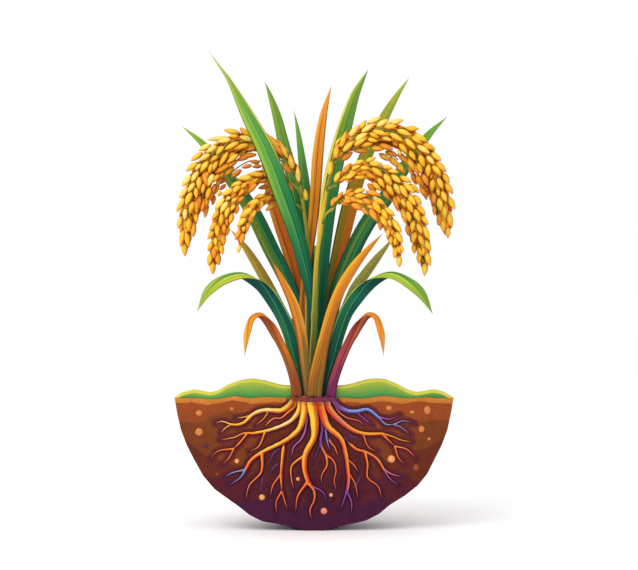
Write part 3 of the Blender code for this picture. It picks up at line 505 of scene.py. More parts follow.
def rootPath(first, last, path, isMain):
    look = rootLook
    isTop = path[0][1] < look["crownV"]
    if isTop:                        # these roots flow down over the collar from the foot of the blades
        u0, u1 = path[0][0], path[1][0]
        start = (drawZero[0] + (u0 - drawZero[0]) * look["topPull"], look["topV"])
        path = [start, (u0 + (u1 - u0) * look["bendShare"], look["bendV"])] + path[1:]
    n = max(8, 7 * (len(path) - 1))
    rows = []
    for i, (u, v) in enumerate(smoothLine(path, n)):
        t = i / n
        r = (first + (last - first) * t ** 0.8) * unit
        if isTop:
            r *= 1 + look["widen"] * (1 - ease(v, look["widenFrom"], look["widenTo"]))
        r *= 1 + look["knots"] * math.sin(23 * t + u) * math.sin(math.pi * t)
        if not isMain:
            r *= 1 + (look["flare"] - 1) * max(0.0, 1 - t * look["flareSteps"])
        elif not isTop:              # it comes out between the others
            r *= look["thinStart"] + (1 - look["thinStart"]) * ease(t, 0.0, look["startShare"])
        y = faceY - look["gap"] - r * look["lift"]
        if isTop and v < look["faceV"]:        # it comes out of the collar little by little
            wide = between(crownEdge, v)
            front = -wide * crownSquash * rounded((u - drawZero[0]) * unit / wide)
            front += r * (look["standOut"] + look["topOut"] * (1 - ease(v, look["topV"], look["crownV"])))
            y += (min(y, front) - y) * (1 - ease(v, look["outV"], look["faceV"]))
        rows.append((place(u, v, y), r))
    return rows


def alongColours(names, topShare=0.0, topHue=None):
    hues = [tint(rootColours[name]) for name in names.split()]

    def colour(s, t):
        at = max(0.0, min(0.9999, t)) * (len(hues) - 1)
        i = int(at)
        hue = blended(hues[i], hues[min(i + 1, len(hues) - 1)], at - i)
        if topShare:
            hue = blended(topHue, hue, ease(t, topShare * 0.5, topShare * 1.4))
        return hue

    return colour


def rootPaint():
    paint = Paint("rootBark", rough=0.55, gloss=0.14)
    x, y = paint.uv()
    fibre = paint.noise(paint.stretched(x, 9.0, paint.times(y, 5.0)), 2.0, 5.0)
    colour = paint.shade(paint.attribute(), fibre, 0.86, 1.1)
    red, _, blue = paint.split(colour)[:3]
    warm = paint.step(paint.less(red, blue), 0.17, 0.08)
    # a painted highlight, yellow on warm roots and pale lilac on cool ones, and a painted shade, red or
    # violet, laid in bands along two sides of each root
    paintedHighlight = paint.mix(warm, tint((190, 190, 245)), tint((255, 214, 84)))
    deep = paint.mix(warm, tint((84, 44, 120)), tint((210, 52, 40)))
    bright = paint.step(paint.maths("MAXIMUM", red, blue), 0.30, 0.12)
    paintedHighlightSide = paint.times(paint.band(x, 0.04, 0.20, 0.07), bright)
    colour = paint.cover(colour, paintedHighlight, paintedHighlightSide, 0.40)
    paintedShadeSide = paint.times(paint.band(x, 0.27, 0.62, 0.045), bright)
    colour = paint.cover(colour, deep, paintedShadeSide, 0.80)
    rings = paint.noise(paint.here(), 700.0, 2.0)
    return paint.finish(colour, paint.plus(fibre, paint.times(rings, 0.4)), 0.0006, 0.5)


def buildRoots():
    look = rootLook
    bark = rootPaint()
    for name, lines in rootLines.items():
        shape = newShape()
        hues = rootHues[name].split("|")
        for k, (first, last, path) in enumerate(lines):
            rows = rootPath(first, last, path, k == 0)
            if k > 0 or len(lines) == 1:
                end = len(rows) - 1
                rows = [(p, r * min(1.0, (end - i) / look["endSteps"])) for i, (p, r) in enumerate(rows)]
            share, hue = 0.0, None
            if path[0][1] < look["crownV"]:
                share = look["topLength"] / sum(math.dist(a, b) for a, b in zip(path, path[1:]))
                ends = [tint(colour) for colour in look["topHues"]]
                hue = blended(*ends, ease(path[0][0], *look["topHueSpan"]))
            # the painted highlight side is kept up on the roots that run to the right as well
            mirror = path[-1][0] - path[0][0] > look["mirrorFrom"]
            addTube(shape, rows, look["sides"], alongColours(hues[k], share, hue), mirror)
        makePiece(pieceName("root", name), shape, bark, "root", name)
    shape = newShape()
    for first, last, path in faintRoots:
        rows = [(p + Vector((0, r * look["faintBack"], 0)), r) for p, r in rootPath(first, last, path, True)]
        addTube(shape, rows, look["faintSides"], alongColours("violet purple violet"))
    paint = Paint("faintRootBark", rough=0.7, gloss=0.2)
    colour = paint.mix(0.62, paint.attribute(), tint((78, 50, 84)))
    colour = paint.shade(colour, paint.noise(paint.here(), 260.0), 0.8, 1.1)
    makePiece("rootsFaint", shape, paint.finish(colour), "root")


buildRoots()
print("roots are made")

# The soil: sides of the clod on its cut face, its ground lines, its radius at the back, and its layers.
leftSide = rowsOf("""
    174.6,398 177.4,415 181,430 186.6,444.7 194,459.5 203.3,476 214.4,489 227.3,498.4 240.3,507.6 249.5,515
    262.5,521.5 281,524.6 295.8,528 305,530.7
""")
rightSide = rowsOf("""
    453.5,398 451,413.3 447.4,430 441.9,444.7 434.5,459.5 427,474.3 417.8,485.4 404.9,495.6 390,504.8
    379,514 366,520.6 355,523.3 336.5,527 323,530.7
""")
turfLeft = rowsOf("""
    174.6,397.2 183,391.9 193.9,389.3 202.5,390.6 210,392.2 217.7,390.6 228.5,384.3 240.5,379.9 252.4,378.3
    265.4,380.3 278.4,384 286,385.3 294,385
""")
turfRight = rowsOf("""
    453.5,397.2 442.3,391 433.6,389 424.9,390.6 416.2,392 407.6,389.5 396.7,383.5 385.9,379.2 377.2,378.1
    366.4,379.2 355.5,382.5 344.7,385 335,385.3
""")
soilLeft = rowsOf("""
    174.6,398 190,397.7 206,399.2 219,398.7 235,395.9 250,398.3 267.6,396.7 283,397.6 294,397.8
""")
soilRight = rowsOf("453.5,398 445.5,398.4 429,397.1 407.6,398.4 384,395.9 362,398.7 341.4,397.6 335,397.8")
backRows = rowsOf("""
    0.27,398 0.269,405 0.266,416 0.26,430 0.252,445 0.242,460 0.229,476 0.216,489 0.204,498.5 0.193,507.6
    0.181,515 0.169,521.5 0.161,525 0.153,528 0.145,530.7
""")
strata = linesOf("""
    174.6,403 192,402 207,404.8 220,402.8 233,399.9 243,401.4 252,403.5 274,401.5 290,403 340,403 348,401.2
    365,403.2 384,400.7 402,403.5 419,400.7 436,403 453.5,403.4 |
    174.6,421.5 190,422.5 198,423 205,420.2 210,416.5 218,413 226,411 231,411.4 237,414.5 250,424 270,432
    314,440 350,432 380,427 405,425 417,423 428,420.2 438,419.6 453.5,421 |
    174.6,433 186,440 194,446 203.5,454.6 212,457.4 222,462 245,468 314,472 380,466 398,457 410,451.4
    417,450.2 424,449.7 434,443.7 448,434 453.5,430 |
    174.6,472 204,478 217.5,478.4 222,476 226,473.8 240,476 262,480 314,486 366,480 400,473 406,473.5
    411,480 416,483 424,483 453.5,480 |
    174.6,503 236,503 262,500 314,505 350,508 361.5,505.2 371,501 379,499 385,500.5 390,503.5 453.5,503.5
""")
soilTop = 398.0
soilLook = {
    "columns": 240, "rows": 104, "capRows": 12, "centreX": 0.001, "depth": 0.95, "lump": 0.018,
    "relief": 0.0007, "channel": 0.0012, "hollow": 0.010, "hollowScale": 13.0, "fade": 16.0, "fine": 0.0032,
    "halo": 4.0,
    # the paint attribute holds the layer over layers and the distance to the nearest root over reach
    "layers": 8, "reach": 20, "layerTop": 397.5, "layerFoot": 532.0, "lastLayer": 5.99, "groove": 3.5,
    # the back rounds off more below roundFrom, is wavy down to wavyTo, and both change over a few units
    "roundFrom": 489, "roundOver": 9.5, "wavyTo": 525, "wavyOver": 3.5, "waves": 5, "twist": 0.06,
    # the dark middle of the cut face: centre, reach each way, and where it begins to fade and ends
    "middle": (316, 462), "middleReach": (62, 52), "middleFade": (0.62, 1.12),
}
soilHues = [
    (212, 132, 52), (158, 75, 36), (126, 64, 28), (108, 46, 28), (92, 32, 42), (76, 28, 60), (66, 24, 58),
]


def layerAt(u, v):
    # which layer of the soil a drawing position is in, with its share of the way down
    lines = [soilLook["layerTop"]] + [between(rows, u, 0) for rows in strata] + [soilLook["layerFoot"]]
    for k, (a, b) in enumerate(zip(lines, lines[1:])):
        if v < b:
            return k + max(0.0, (v - a) / max(b - a, 0.5))
    return soilLook["lastLayer"]


def rootFinder():
    spots = []
    for lines in rootLines.values():
        for first, last, path in lines:
            n = 10 * len(path)
            for i, (u, v) in enumerate(smoothLine(path, n)):
                spots.append((u, v, first + (last - first) * i / n))
    tree = kdtree.KDTree(len(spots))
    for i, (u, v, _) in enumerate(spots):
        tree.insert((u, v, 0), i)
    tree.balance()

    def distance(u, v):
        return min(d - spots[i][2] for _, i, d in tree.find_n((u, v, 0), 3))

    return distance


def sideReach(v, a):
    # radius of the clod at level v and angle a: 0 right, pi left, round the back
    look = soilLook
    left = look["centreX"] - (between(leftSide, v) - drawZero[0]) * unit
    right = (between(rightSide, v) - drawZero[0]) * unit - look["centreX"]
    side = right + (left - right) * (1 - math.cos(a)) / 2
    power = 1.2 + 1.8 * max(0.0, min(1.0, (v - look["roundFrom"]) / look["roundOver"]))
    reach = side + (between(backRows, v) - side) * max(0.0, math.sin(a)) ** power
    fade = max(0.0, min(1.0, (look["wavyTo"] - v) / look["wavyOver"]))
    wave = math.sin(look["waves"] * a + (v - soilTop) * look["twist"])
    return reach * (1 + look["lump"] * fade * math.sin(a) * wave)


def ringPoint(r, a, z):
    return Vector((soilLook["centreX"] + r * math.cos(a), faceY + r * math.sin(a) * soilLook["depth"], z))


def inward(s, t, across, top, low):
    # 0 on the edges of a patch, 1 inside
    return min(1.0, across * s, across * (1 - s), top * t, low * (1 - t))


def buildSoil():
    look = soilLook
    distance = rootFinder()
    low = drawZero[1]

    def level(t):
        return soilTop + (low - soilTop) * t

    def topLine(u):
        return between(soilLeft if u < drawZero[0] else soilRight, u, 0)

    def facePoint(s, t):
        v = level(t)
        u = between(leftSide, v) * (1 - s) + between(rightSide, v) * s
        v += (topLine(u) - soilTop) * (1 - t) * min(1.0, 8 * s, 8 * (1 - s))
        return u, v

    def face(s, t):
        u, v = facePoint(s, t)
        point = place(u, v, faceY)
        grain = noise.fractal(point * 60, 0.8, 2.0, 4) * look["relief"]
        groove = look["channel"] * (1 - ease(distance(u, v), 0.0, look["groove"]))
        point.y += inward(s, t, 12, 12, 12) * (grain + groove)
        return point

    def faceColour(s, t):
        u, v = facePoint(s, t)
        (u0, v0), (ru, rv) = look["middle"], look["middleReach"]
        centre = 1 - ease(math.hypot((u - u0) / ru, (v - v0) / rv), *look["middleFade"])
        return (layerAt(u, v) / look["layers"], max(0.0, distance(u, v)) / look["reach"], centre, 1.0)

    def back(s, t):
        v, a = level(t), math.pi * (1 - s)
        z = (low - v) * unit
        reach = sideReach(v, a)
        point = ringPoint(reach, a, z)
        fade = math.sin(a) * min(1.0, (v - soilTop) / look["fade"], (low - v) / look["fade"])
        reach -= look["hollow"] * fade * (0.5 + noise.noise(point * look["hollowScale"]))
        rough = noise.fractal(point * 46 + Vector((3, 1, 7)), 0.8, 2.1, 5)
        crumbs = max(0.0, noise.noise(point * 95) - 0.12)
        return ringPoint(reach - inward(s, t, 14, 20, 12) * look["fine"] * (rough * 0.7 - crumbs * 1.6), a, z)

    def backColour(s, t):
        v = level(t)
        wave = math.sin(math.pi * s) * (5 * math.sin(9 * s + v * 0.02) + 4 * math.sin(23 * s))
        left, right = between(leftSide, v), between(rightSide, v)
        layer = layerAt(left, v + wave) * (1 - s) + layerAt(right, v + wave) * s
        if math.sin(math.pi * s) <= 0.02:      # the rim keeps the layers of the cut face
            layer = layerAt(left * (1 - s) + right * s, v)
        return (layer / look["layers"], 1.0, 0.0, 1.0)

    def cap(edge):
        # a flat patch from the cut face to the back, at the top (edge 0) or the foot (edge 1)
        def where(s, t):
            a, v = math.pi * (1 - s), level(edge)
            return place(*facePoint(s, edge), faceY).lerp(ringPoint(sideReach(v, a), a, (low - v) * unit), t)

        return where

    shape = newShape()
    addPatch(shape, look["columns"], look["rows"], face, colour=faceColour)
    addPatch(shape, look["columns"], look["rows"], back, colour=backColour)
    addPatch(shape, look["columns"], look["capRows"], cap(0), colour=lambda s, t: (0.03, 1.0, 0.0, 1.0))
    addPatch(shape, look["columns"], look["capRows"], cap(1), colour=lambda s, t: (0.74, 1.0, 0.0, 1.0))
    paint = Paint("packedSoil", rough=0.92, gloss=0.12)
    layer, near, centre = paint.split(paint.attribute())[:3]
    spot = paint.here()
    layer = paint.plus(layer, paint.sway(paint.noise(spot, 45.0, 3.0), 0.008))
    stops = []
    for k, (hue, after) in enumerate(zip(soilHues, soilHues[1:])):
        stops.append(((k + 0.03) / look["layers"], hue))
        stops.append(((k + 0.97) / look["layers"], [0.82 * a + 0.18 * b for a, b in zip(hue, after)]))
    colour = paint.ramp(layer, stops)
    middle = paint.ramp(paint.noise(spot, 30.0, 3.0), "0.4:421424 0.56:502022 0.66:602e1e")
    colour = paint.cover(colour, middle, centre, 0.88)
    # painted shade round the roots on the cut face: a dark ring, reddish above and purple lower down, and a
    # darker painted shadow right at each root's edge
    edge = paint.plus(near, paint.sway(paint.noise(spot, 90.0, 2.0), 0.10))
    high = paint.step(paint.split(spot)[2], 0.115, 0.06)
    ring = paint.mix(high, tint((74, 28, 50)), tint((104, 40, 42)))
    colour = paint.cover(colour, ring, paint.below(edge, look["halo"] / look["reach"], 0.012), 0.86)
    colour = paint.cover(colour, tint((48, 12, 36)), paint.below(near, 0.05, 0.05), 0.6)
    fine = paint.noise(spot, 420.0, 4.0)
    colour = paint.shade(colour, fine, 0.86, 1.10)
    colour = paint.shade(colour, paint.noise(spot, 70.0, 4.0), 0.90, 1.08)
    makePiece("soilClod", shape, paint.finish(colour, fine, 0.0012, 0.7), "soil", "soil")


buildSoil()
print("soil is made")

# Pebbles: (u, v, radius across, radius down) in units, and their finish.
pebbles = {
    "pebble_a": (199, 413, 3.4, 3.0, "flat"), "pebble_b": (199, 432, 3.9, 3.9, "flat"),
    "pebble_c": (237, 461, 2.5, 2.5, "glossy"), "pebble_d": (262, 497.3, 3.1, 3.1, "glossy"),
    "pebble_e": (389, 408, 3.0, 2.5, "flat"), "pebble_f": (427.3, 410, 3.4, 4.2, "flat"),
    "pebble_g": (421.5, 429, 3.1, 3.4, "flat"), "pebble_h": (391.4, 459, 3.9, 3.9, "glossy"),
    "pebble_i": (324, 511, 3.4, 3.4, "pinkish"), "pebble_j": (206, 446, 3.2, 2.7, "dark"),
    "pebble_k": (416, 467.4, 2.8, 3.2, "dim"),
}
smallPebbles = {
    "pebbleSmallA": (232, 409, 1.7, 2.0, "flat"), "pebbleSmallB": (217, 474, 1.5, 1.4, "dim"),
    "pebbleSmallC": (412, 412, 2.2, 1.9, "flat"), "pebbleSmallD": (429, 439, 1.7, 1.7, "flat"),
    "pebbleSmallE": (298, 479, 2.0, 2.0, "glossy"), "pebbleSmallF": (331, 495, 2.0, 2.0, "glossy"),
}
# Finishes: light and dark colour, roughness, coat.
pebbleFinish = {
    "flat": ((222, 132, 56), (176, 92, 36), 0.6, 0.0), "glossy": ((255, 168, 92), (236, 110, 60), 0.22, 0.5),
    "pinkish": ((252, 140, 108), (225, 92, 84), 0.22, 0.5), "dim": ((150, 76, 36), (112, 52, 30), 0.7, 0.0),
    "dark": ((84, 32, 52), (60, 22, 44), 0.7, 0.0),
}
pebbleLook = {"glossyDeep": 0.8, "flatDeep": 0.42, "dent": 0.07, "sink": 0.0006}


def pebblePaint(kind, light, dark, rough, coat):
    paint = Paint("pebble" + kind.capitalize(), rough=rough, gloss=0.4, coat=coat, coatRough=0.12)
    spot = paint.here()
    veins = paint.noise(spot, 190.0, 4.0)
    colour = paint.ramp(veins, [(0.36, dark), (0.56, light)])
    colour = paint.mix(0.55, colour, tint(light))
    colour = paint.shade(colour, paint.noise(spot, 900.0, 2.0), 0.92, 1.06)
    return paint.finish(colour, veins, 0.0006, 0.4)


def buildPebbles():
    look = pebbleLook
    paints = {kind: pebblePaint(kind, *finish) for kind, finish in pebbleFinish.items()}
    for name, (u, v, ru, rv, kind) in {**pebbles, **smallPebbles}.items():
        shape = newShape()
        bmesh.ops.create_icosphere(shape, subdivisions=3, radius=1.0, calc_uvs=True)
        centre = place(u, v, faceY)
        isGlossy = kind in ("glossy", "pinkish")
        deep = min(ru, rv) * (look["glossyDeep"] if isGlossy else look["flatDeep"])
        for vert in shape.verts:
            p = vert.co.copy()
            dent = 1 + (0.0 if isGlossy else look["dent"]) * noise.noise(p * 1.4 + centre * 40)
            x, z = centre.x + p.x * ru * unit * dent, centre.z + p.z * rv * unit * dent
            vert.co = (x, faceY + look["sink"] + p.y * deep * unit, z)
        slotName = "pebble_glossy" if isGlossy else "pebble_flat"
        if name in pebbles:
            makePiece(pieceName("pebble", name), shape, paints[kind], slotName, name)
        else:
            makePiece(name, shape, paints[kind], slotName)


buildPebbles()
print("pebbles are made")

turfLook = {
    "around": 150, "rings": 46, "high": 6, "thin": 0.006, "dip": 0.35, "backHeight": 0.008, "backDrop": 0.75,
    "rough": 0.0022, "wave": 0.002, "least": 0.0016, "gap": 0.0003, "hide": 1.8, "blades": 5200, "batch": 200,
    "bladeHeight": 0.0095, "bladeFoot": 0.0011, "bladeTip": 0.0001, "room": 0.3, "leastRoom": 0.001,
    "notchX": 0.0440, "notchY": 0.0405,
}
grassHues = [(120, 180, 60), (90, 160, 62), (165, 195, 70), (200, 205, 80)]


def notchReach(a):
    # how far the hollow for the crown reaches from the middle of the cut edge
    ry = turfLook["notchY"]
    c = math.cos(a) / turfLook["notchX"]
    s = math.sin(a) * soilLook["depth"] / ry
    q = faceY / ry
    both = c * c + s * s
    return (-s * q + math.sqrt(max(0.0, s * s * q * q - both * (q * q - 1)))) / both


def groundLine(r, a, left, right):
    # height of a line that runs from the left rim of the cut face round the back to the right one
    zl = (drawZero[1] - between(left, drawZero[0] + (soilLook["centreX"] - r) / unit, 0)) * unit
    zr = (drawZero[1] - between(right, drawZero[0] + (soilLook["centreX"] + r) / unit, 0)) * unit
    return zr + (zl - zr) * (1 - math.cos(a)) / 2


def frontEdge(u):
    return between(turfLeft if u < drawZero[0] else turfRight, u, 0)


def turfReach(a, share):
    inner = notchReach(a)
    return inner + (sideReach(soilTop, a) - inner) * share


def turfTop(s, t):
    look = turfLook
    base = (drawZero[1] - soilTop) * unit
    a, r = math.pi * s, turfReach(math.pi * s, t)
    z = groundLine(r, a, turfLeft, turfRight)
    z += (base + look["thin"] - z) * math.sin(a) ** 0.5 * max(0.0, 1 - t / look["dip"])
    z -= max(0.0, z - base - look["backHeight"]) * look["backDrop"] * math.sin(a)
    point = ringPoint(r, a, z)
    fade = min(1.0, 10 * s, 10 * (1 - s), 8 * (1 - t))
    rough = fade * look["rough"] * noise.fractal(point * 48, 0.8, 2.0, 4)
    point.z += rough + fade * look["wave"] * math.sin(3 * a + r * 31)
    u, v = drawnAt(point)
    edge = frontEdge(u) + look["hide"] * fade
    if v < edge and 0.0 < s < 1.0:   # nothing behind the front edge stands above it
        point.z = max(place(u, edge, point.y).z, base + look["least"])
    return point


def turfLow(s, t):
    a, r = math.pi * s, turfReach(math.pi * s, t)
    return ringPoint(r, a, groundLine(r, a, soilLeft, soilRight) + turfLook["gap"])


def addTurfWall(shape, count, ends, flag):
    # a side of the turf, over the points ends(s) of its top and its under side
    def where(s, t):
        return turfLow(*ends(s)).lerp(turfTop(*ends(s)), t)

    def colour(s, t):
        low, high = turfLow(*ends(s)), turfTop(*ends(s))
        drop = high.z - low.lerp(high, t).z
        return (drop / unit / 20, drop / max(high.z - low.z, 1e-5), flag, 1.0)

    addPatch(shape, count, turfLook["high"], where, colour=colour)


def turfPaint():
    paint = Paint("turfGrass", rough=0.75, gloss=0.2, sheen=0.15)
    depth, share, flag = paint.split(paint.attribute())[:3]
    where = paint.here()
    streak = paint.noise(paint.here((9.0, 9.0, 2.0)), 30.0, 4.0)
    blotch = paint.noise(where, 26.0, 3.0)
    body = paint.ramp(share, "0.1:b4c042 0.4:90ae40 0.75:5a9c44 1:3c8e46")
    farRight = paint.step(paint.split(where)[0], 0.235, 0.03)
    body = paint.cover(body, tint((36, 126, 76)), farRight, 0.6)
    # a painted highlight: a yellow-green band along the top edge of the turf's sides
    rim = paint.below(paint.plus(depth, paint.times(blotch, 0.03)), 0.185, 0.016)
    colour = paint.mix(rim, body, tint((214, 208, 72)))
    lawn = paint.ramp(blotch, "0.35:70a43a 0.5:a0bc42 0.66:cecc4a")
    colour = paint.cover(colour, lawn, paint.step(flag, 0.8, 0.1), 0.8)
    return paint.finish(paint.shade(colour, streak, 0.96, 1.03), streak, 0.0006, 0.4)


def buildTurf():
    look = turfLook
    shape = newShape()
    addPatch(shape, look["around"], look["rings"], turfTop, colour=lambda s, t: (0, 0, 1, 1))
    addPatch(shape, look["around"], look["rings"], turfLow, colour=lambda s, t: (1, 1, 0, 1))
    addTurfWall(shape, look["rings"], lambda s: (0.0, s), 0.0)
    addTurfWall(shape, look["rings"], lambda s: (1.0, s), 0.0)
    addTurfWall(shape, look["around"], lambda s: (s, 1.0), 0.5)
    addTurfWall(shape, look["around"], lambda s: (s, 0.0), 0.5)
    makePiece("turfSlab", shape, turfPaint(), "turf", "turf")


def addGrassBlade(tuft):
    # short grass on the parts that lie behind the front edge
    look = turfLook
    s, t = dice.uniform(0.10, 0.90), dice.uniform(0.10, 0.97)
    foot = turfTop(s, t)
    height = look["bladeHeight"] * dice.uniform(0.55, 1.1) * min(1.0, 0.3 + 0.8 * math.sin(math.pi * s))
    lean = Vector((dice.uniform(-0.5, 0.5), dice.uniform(-0.5, 0.5), 1)) * height
    u, v = drawnAt(foot)
    room = (v - frontEdge(u) - look["room"]) * unit
    if room < look["leastRoom"]:     # no blade shows above the front edge
        return
    lean *= min(1.0, room / height)
    radii = {"radius1": look["bladeFoot"], "radius2": look["bladeTip"]}
    cone = bmesh.ops.create_cone(tuft, cap_ends=True, segments=4, depth=1.0, **radii)
    hue = dice.choice(grassHues)
    layer = tuft.verts.layers.float_color["paint"]
    for vert in cone["verts"]:
        up = vert.co.z + 0.5
        vert[layer] = tint([c * (0.72 + 0.28 * up) for c in hue])
        bend = 1 + 0.8 * up
        bent = Vector((lean.x * up * bend, lean.y * up * bend, lean.z * up))
        vert.co = foot + Vector((vert.co.x, vert.co.y, -0.001)) + bent


def buildGrass():
    grass, tuft = newShape(), newShape()
    for count in range(turfLook["blades"]):
        if (count + 1) % turfLook["batch"] == 0:
            pour(tuft, grass)
            tuft = newShape()
        addGrassBlade(tuft)
    pour(tuft, grass)
    paint = Paint("grassBlade", rough=0.6, gloss=0.25)
    colour = paint.shade(paint.attribute(), paint.noise(paint.here(), 380.0, 2.0), 0.9, 1.08)
    makePiece("turfBlades", grass, paint.finish(colour), "turf", weld=1e-9)


buildTurf()
buildGrass()
print("turf is made")

crownLook = {
    "profile": rowsOf("""
        0,402.9 0.03,402.9 0.035,402.6 0.042,401.9 0.045,401 0.0465,399.4 0.0462,398.2 0.045,397.2
        0.04,396.7 0,396.5
    """),
    "steps": 30, "sides": 240, "ridges": 30, "ridgeDepth": 0.014,
    # the apron joins the collar and the root tops in front
    "apronTop": 396.9, "apronDrop": 4.6, "apronWidth": 0.93, "apronStand": 0.0004, "apronBack": 0.006,
    "apronGrid": (110, 16), "blend": 0.0016, "offRoot": 0.02, "rootTop": 16,
}


def collarShape():
    look = crownLook
    steps = smoothLine([(v * 0.001, r, v) for r, v in look["profile"]], look["steps"])
    steps = [(v, max(r, 0.0)) for _, r, v in steps]
    for end in (0, -1):
        steps[end] = (look["profile"][end][1], 0.0)

    def where(s, t):
        v, r = steps[round(t * look["steps"])]
        a = 2 * math.pi * s
        wave = math.sin(look["ridges"] * a + 1.6 * math.sin(5 * a))
        ridge = 1 + look["ridgeDepth"] * wave * ease(r, 0.02, 0.04)
        x = soilLook["centreX"] + r * ridge * math.cos(a)
        return Vector((x, r * ridge * crownSquash * math.sin(a), (drawZero[1] - v) * unit))

    return where


def apronShape():
    look = crownLook
    tops = []
    for lines in rootLines.values():
        first, last, path = lines[0]
        if path[0][1] < rootLook["crownV"]:
            tops.append(rootPath(first, last, path, True)[:look["rootTop"]])

    def cover(x, z):
        # how far forward the collar and the root tops reach there, blended together
        wide = between(crownEdge, drawZero[1] - z / unit)
        total = math.exp(wide * crownSquash * rounded(x / wide) / look["blend"])
        for rows in tops:
            p, r = min(rows, key=lambda row: abs(row[0].z - z))
            off = (x - p.x) / r
            total += math.exp((r * rounded(off) - p.y - look["offRoot"] * (abs(off) > 1)) / look["blend"])
        return -look["blend"] * math.log(total)

    def where(s, t, back=0.0):
        v = look["apronTop"] + look["apronDrop"] * t
        z = (drawZero[1] - look["apronTop"] - look["apronDrop"] * t) * unit
        x = (2 * s - 1) * between(crownEdge, v) * look["apronWidth"]
        y = cover(x, z) - look["apronStand"] * (1 - 1.5 * ease(t, 0.45, 1.0))
        return Vector((x, y + back * math.sin(math.pi * s) * math.sin(math.pi * t), z))

    return where


def buildCrown():
    look = crownLook
    shape = newShape()
    apron = apronShape()
    addPatch(shape, look["sides"], look["steps"], collarShape())
    addPatch(shape, *look["apronGrid"], apron)
    addPatch(shape, *look["apronGrid"], lambda s, t: apron(1 - s, t, look["apronBack"]))
    paint = Paint("crownBark", rough=0.7, gloss=0.1)
    span = {"Value": paint.split(paint.here())[0], "From Min": -0.05, "From Max": 0.05}
    x = paint.node("MapRange", span).outputs[0]
    colour = paint.ramp(x, "0:964a2e 0.35:803a32 0.6:7a3248 0.85:823060 1:7c2e5e")
    fibre = paint.noise(paint.here((1.0, 1.0, 0.15)), 340.0, 4.0)
    colour = paint.shade(colour, fibre, 0.86, 1.12)
    makePiece("crownCollar", shape, paint.finish(colour, fibre, 0.0014, 0.7), "crown", "crown")


buildCrown()
print("crown is made")

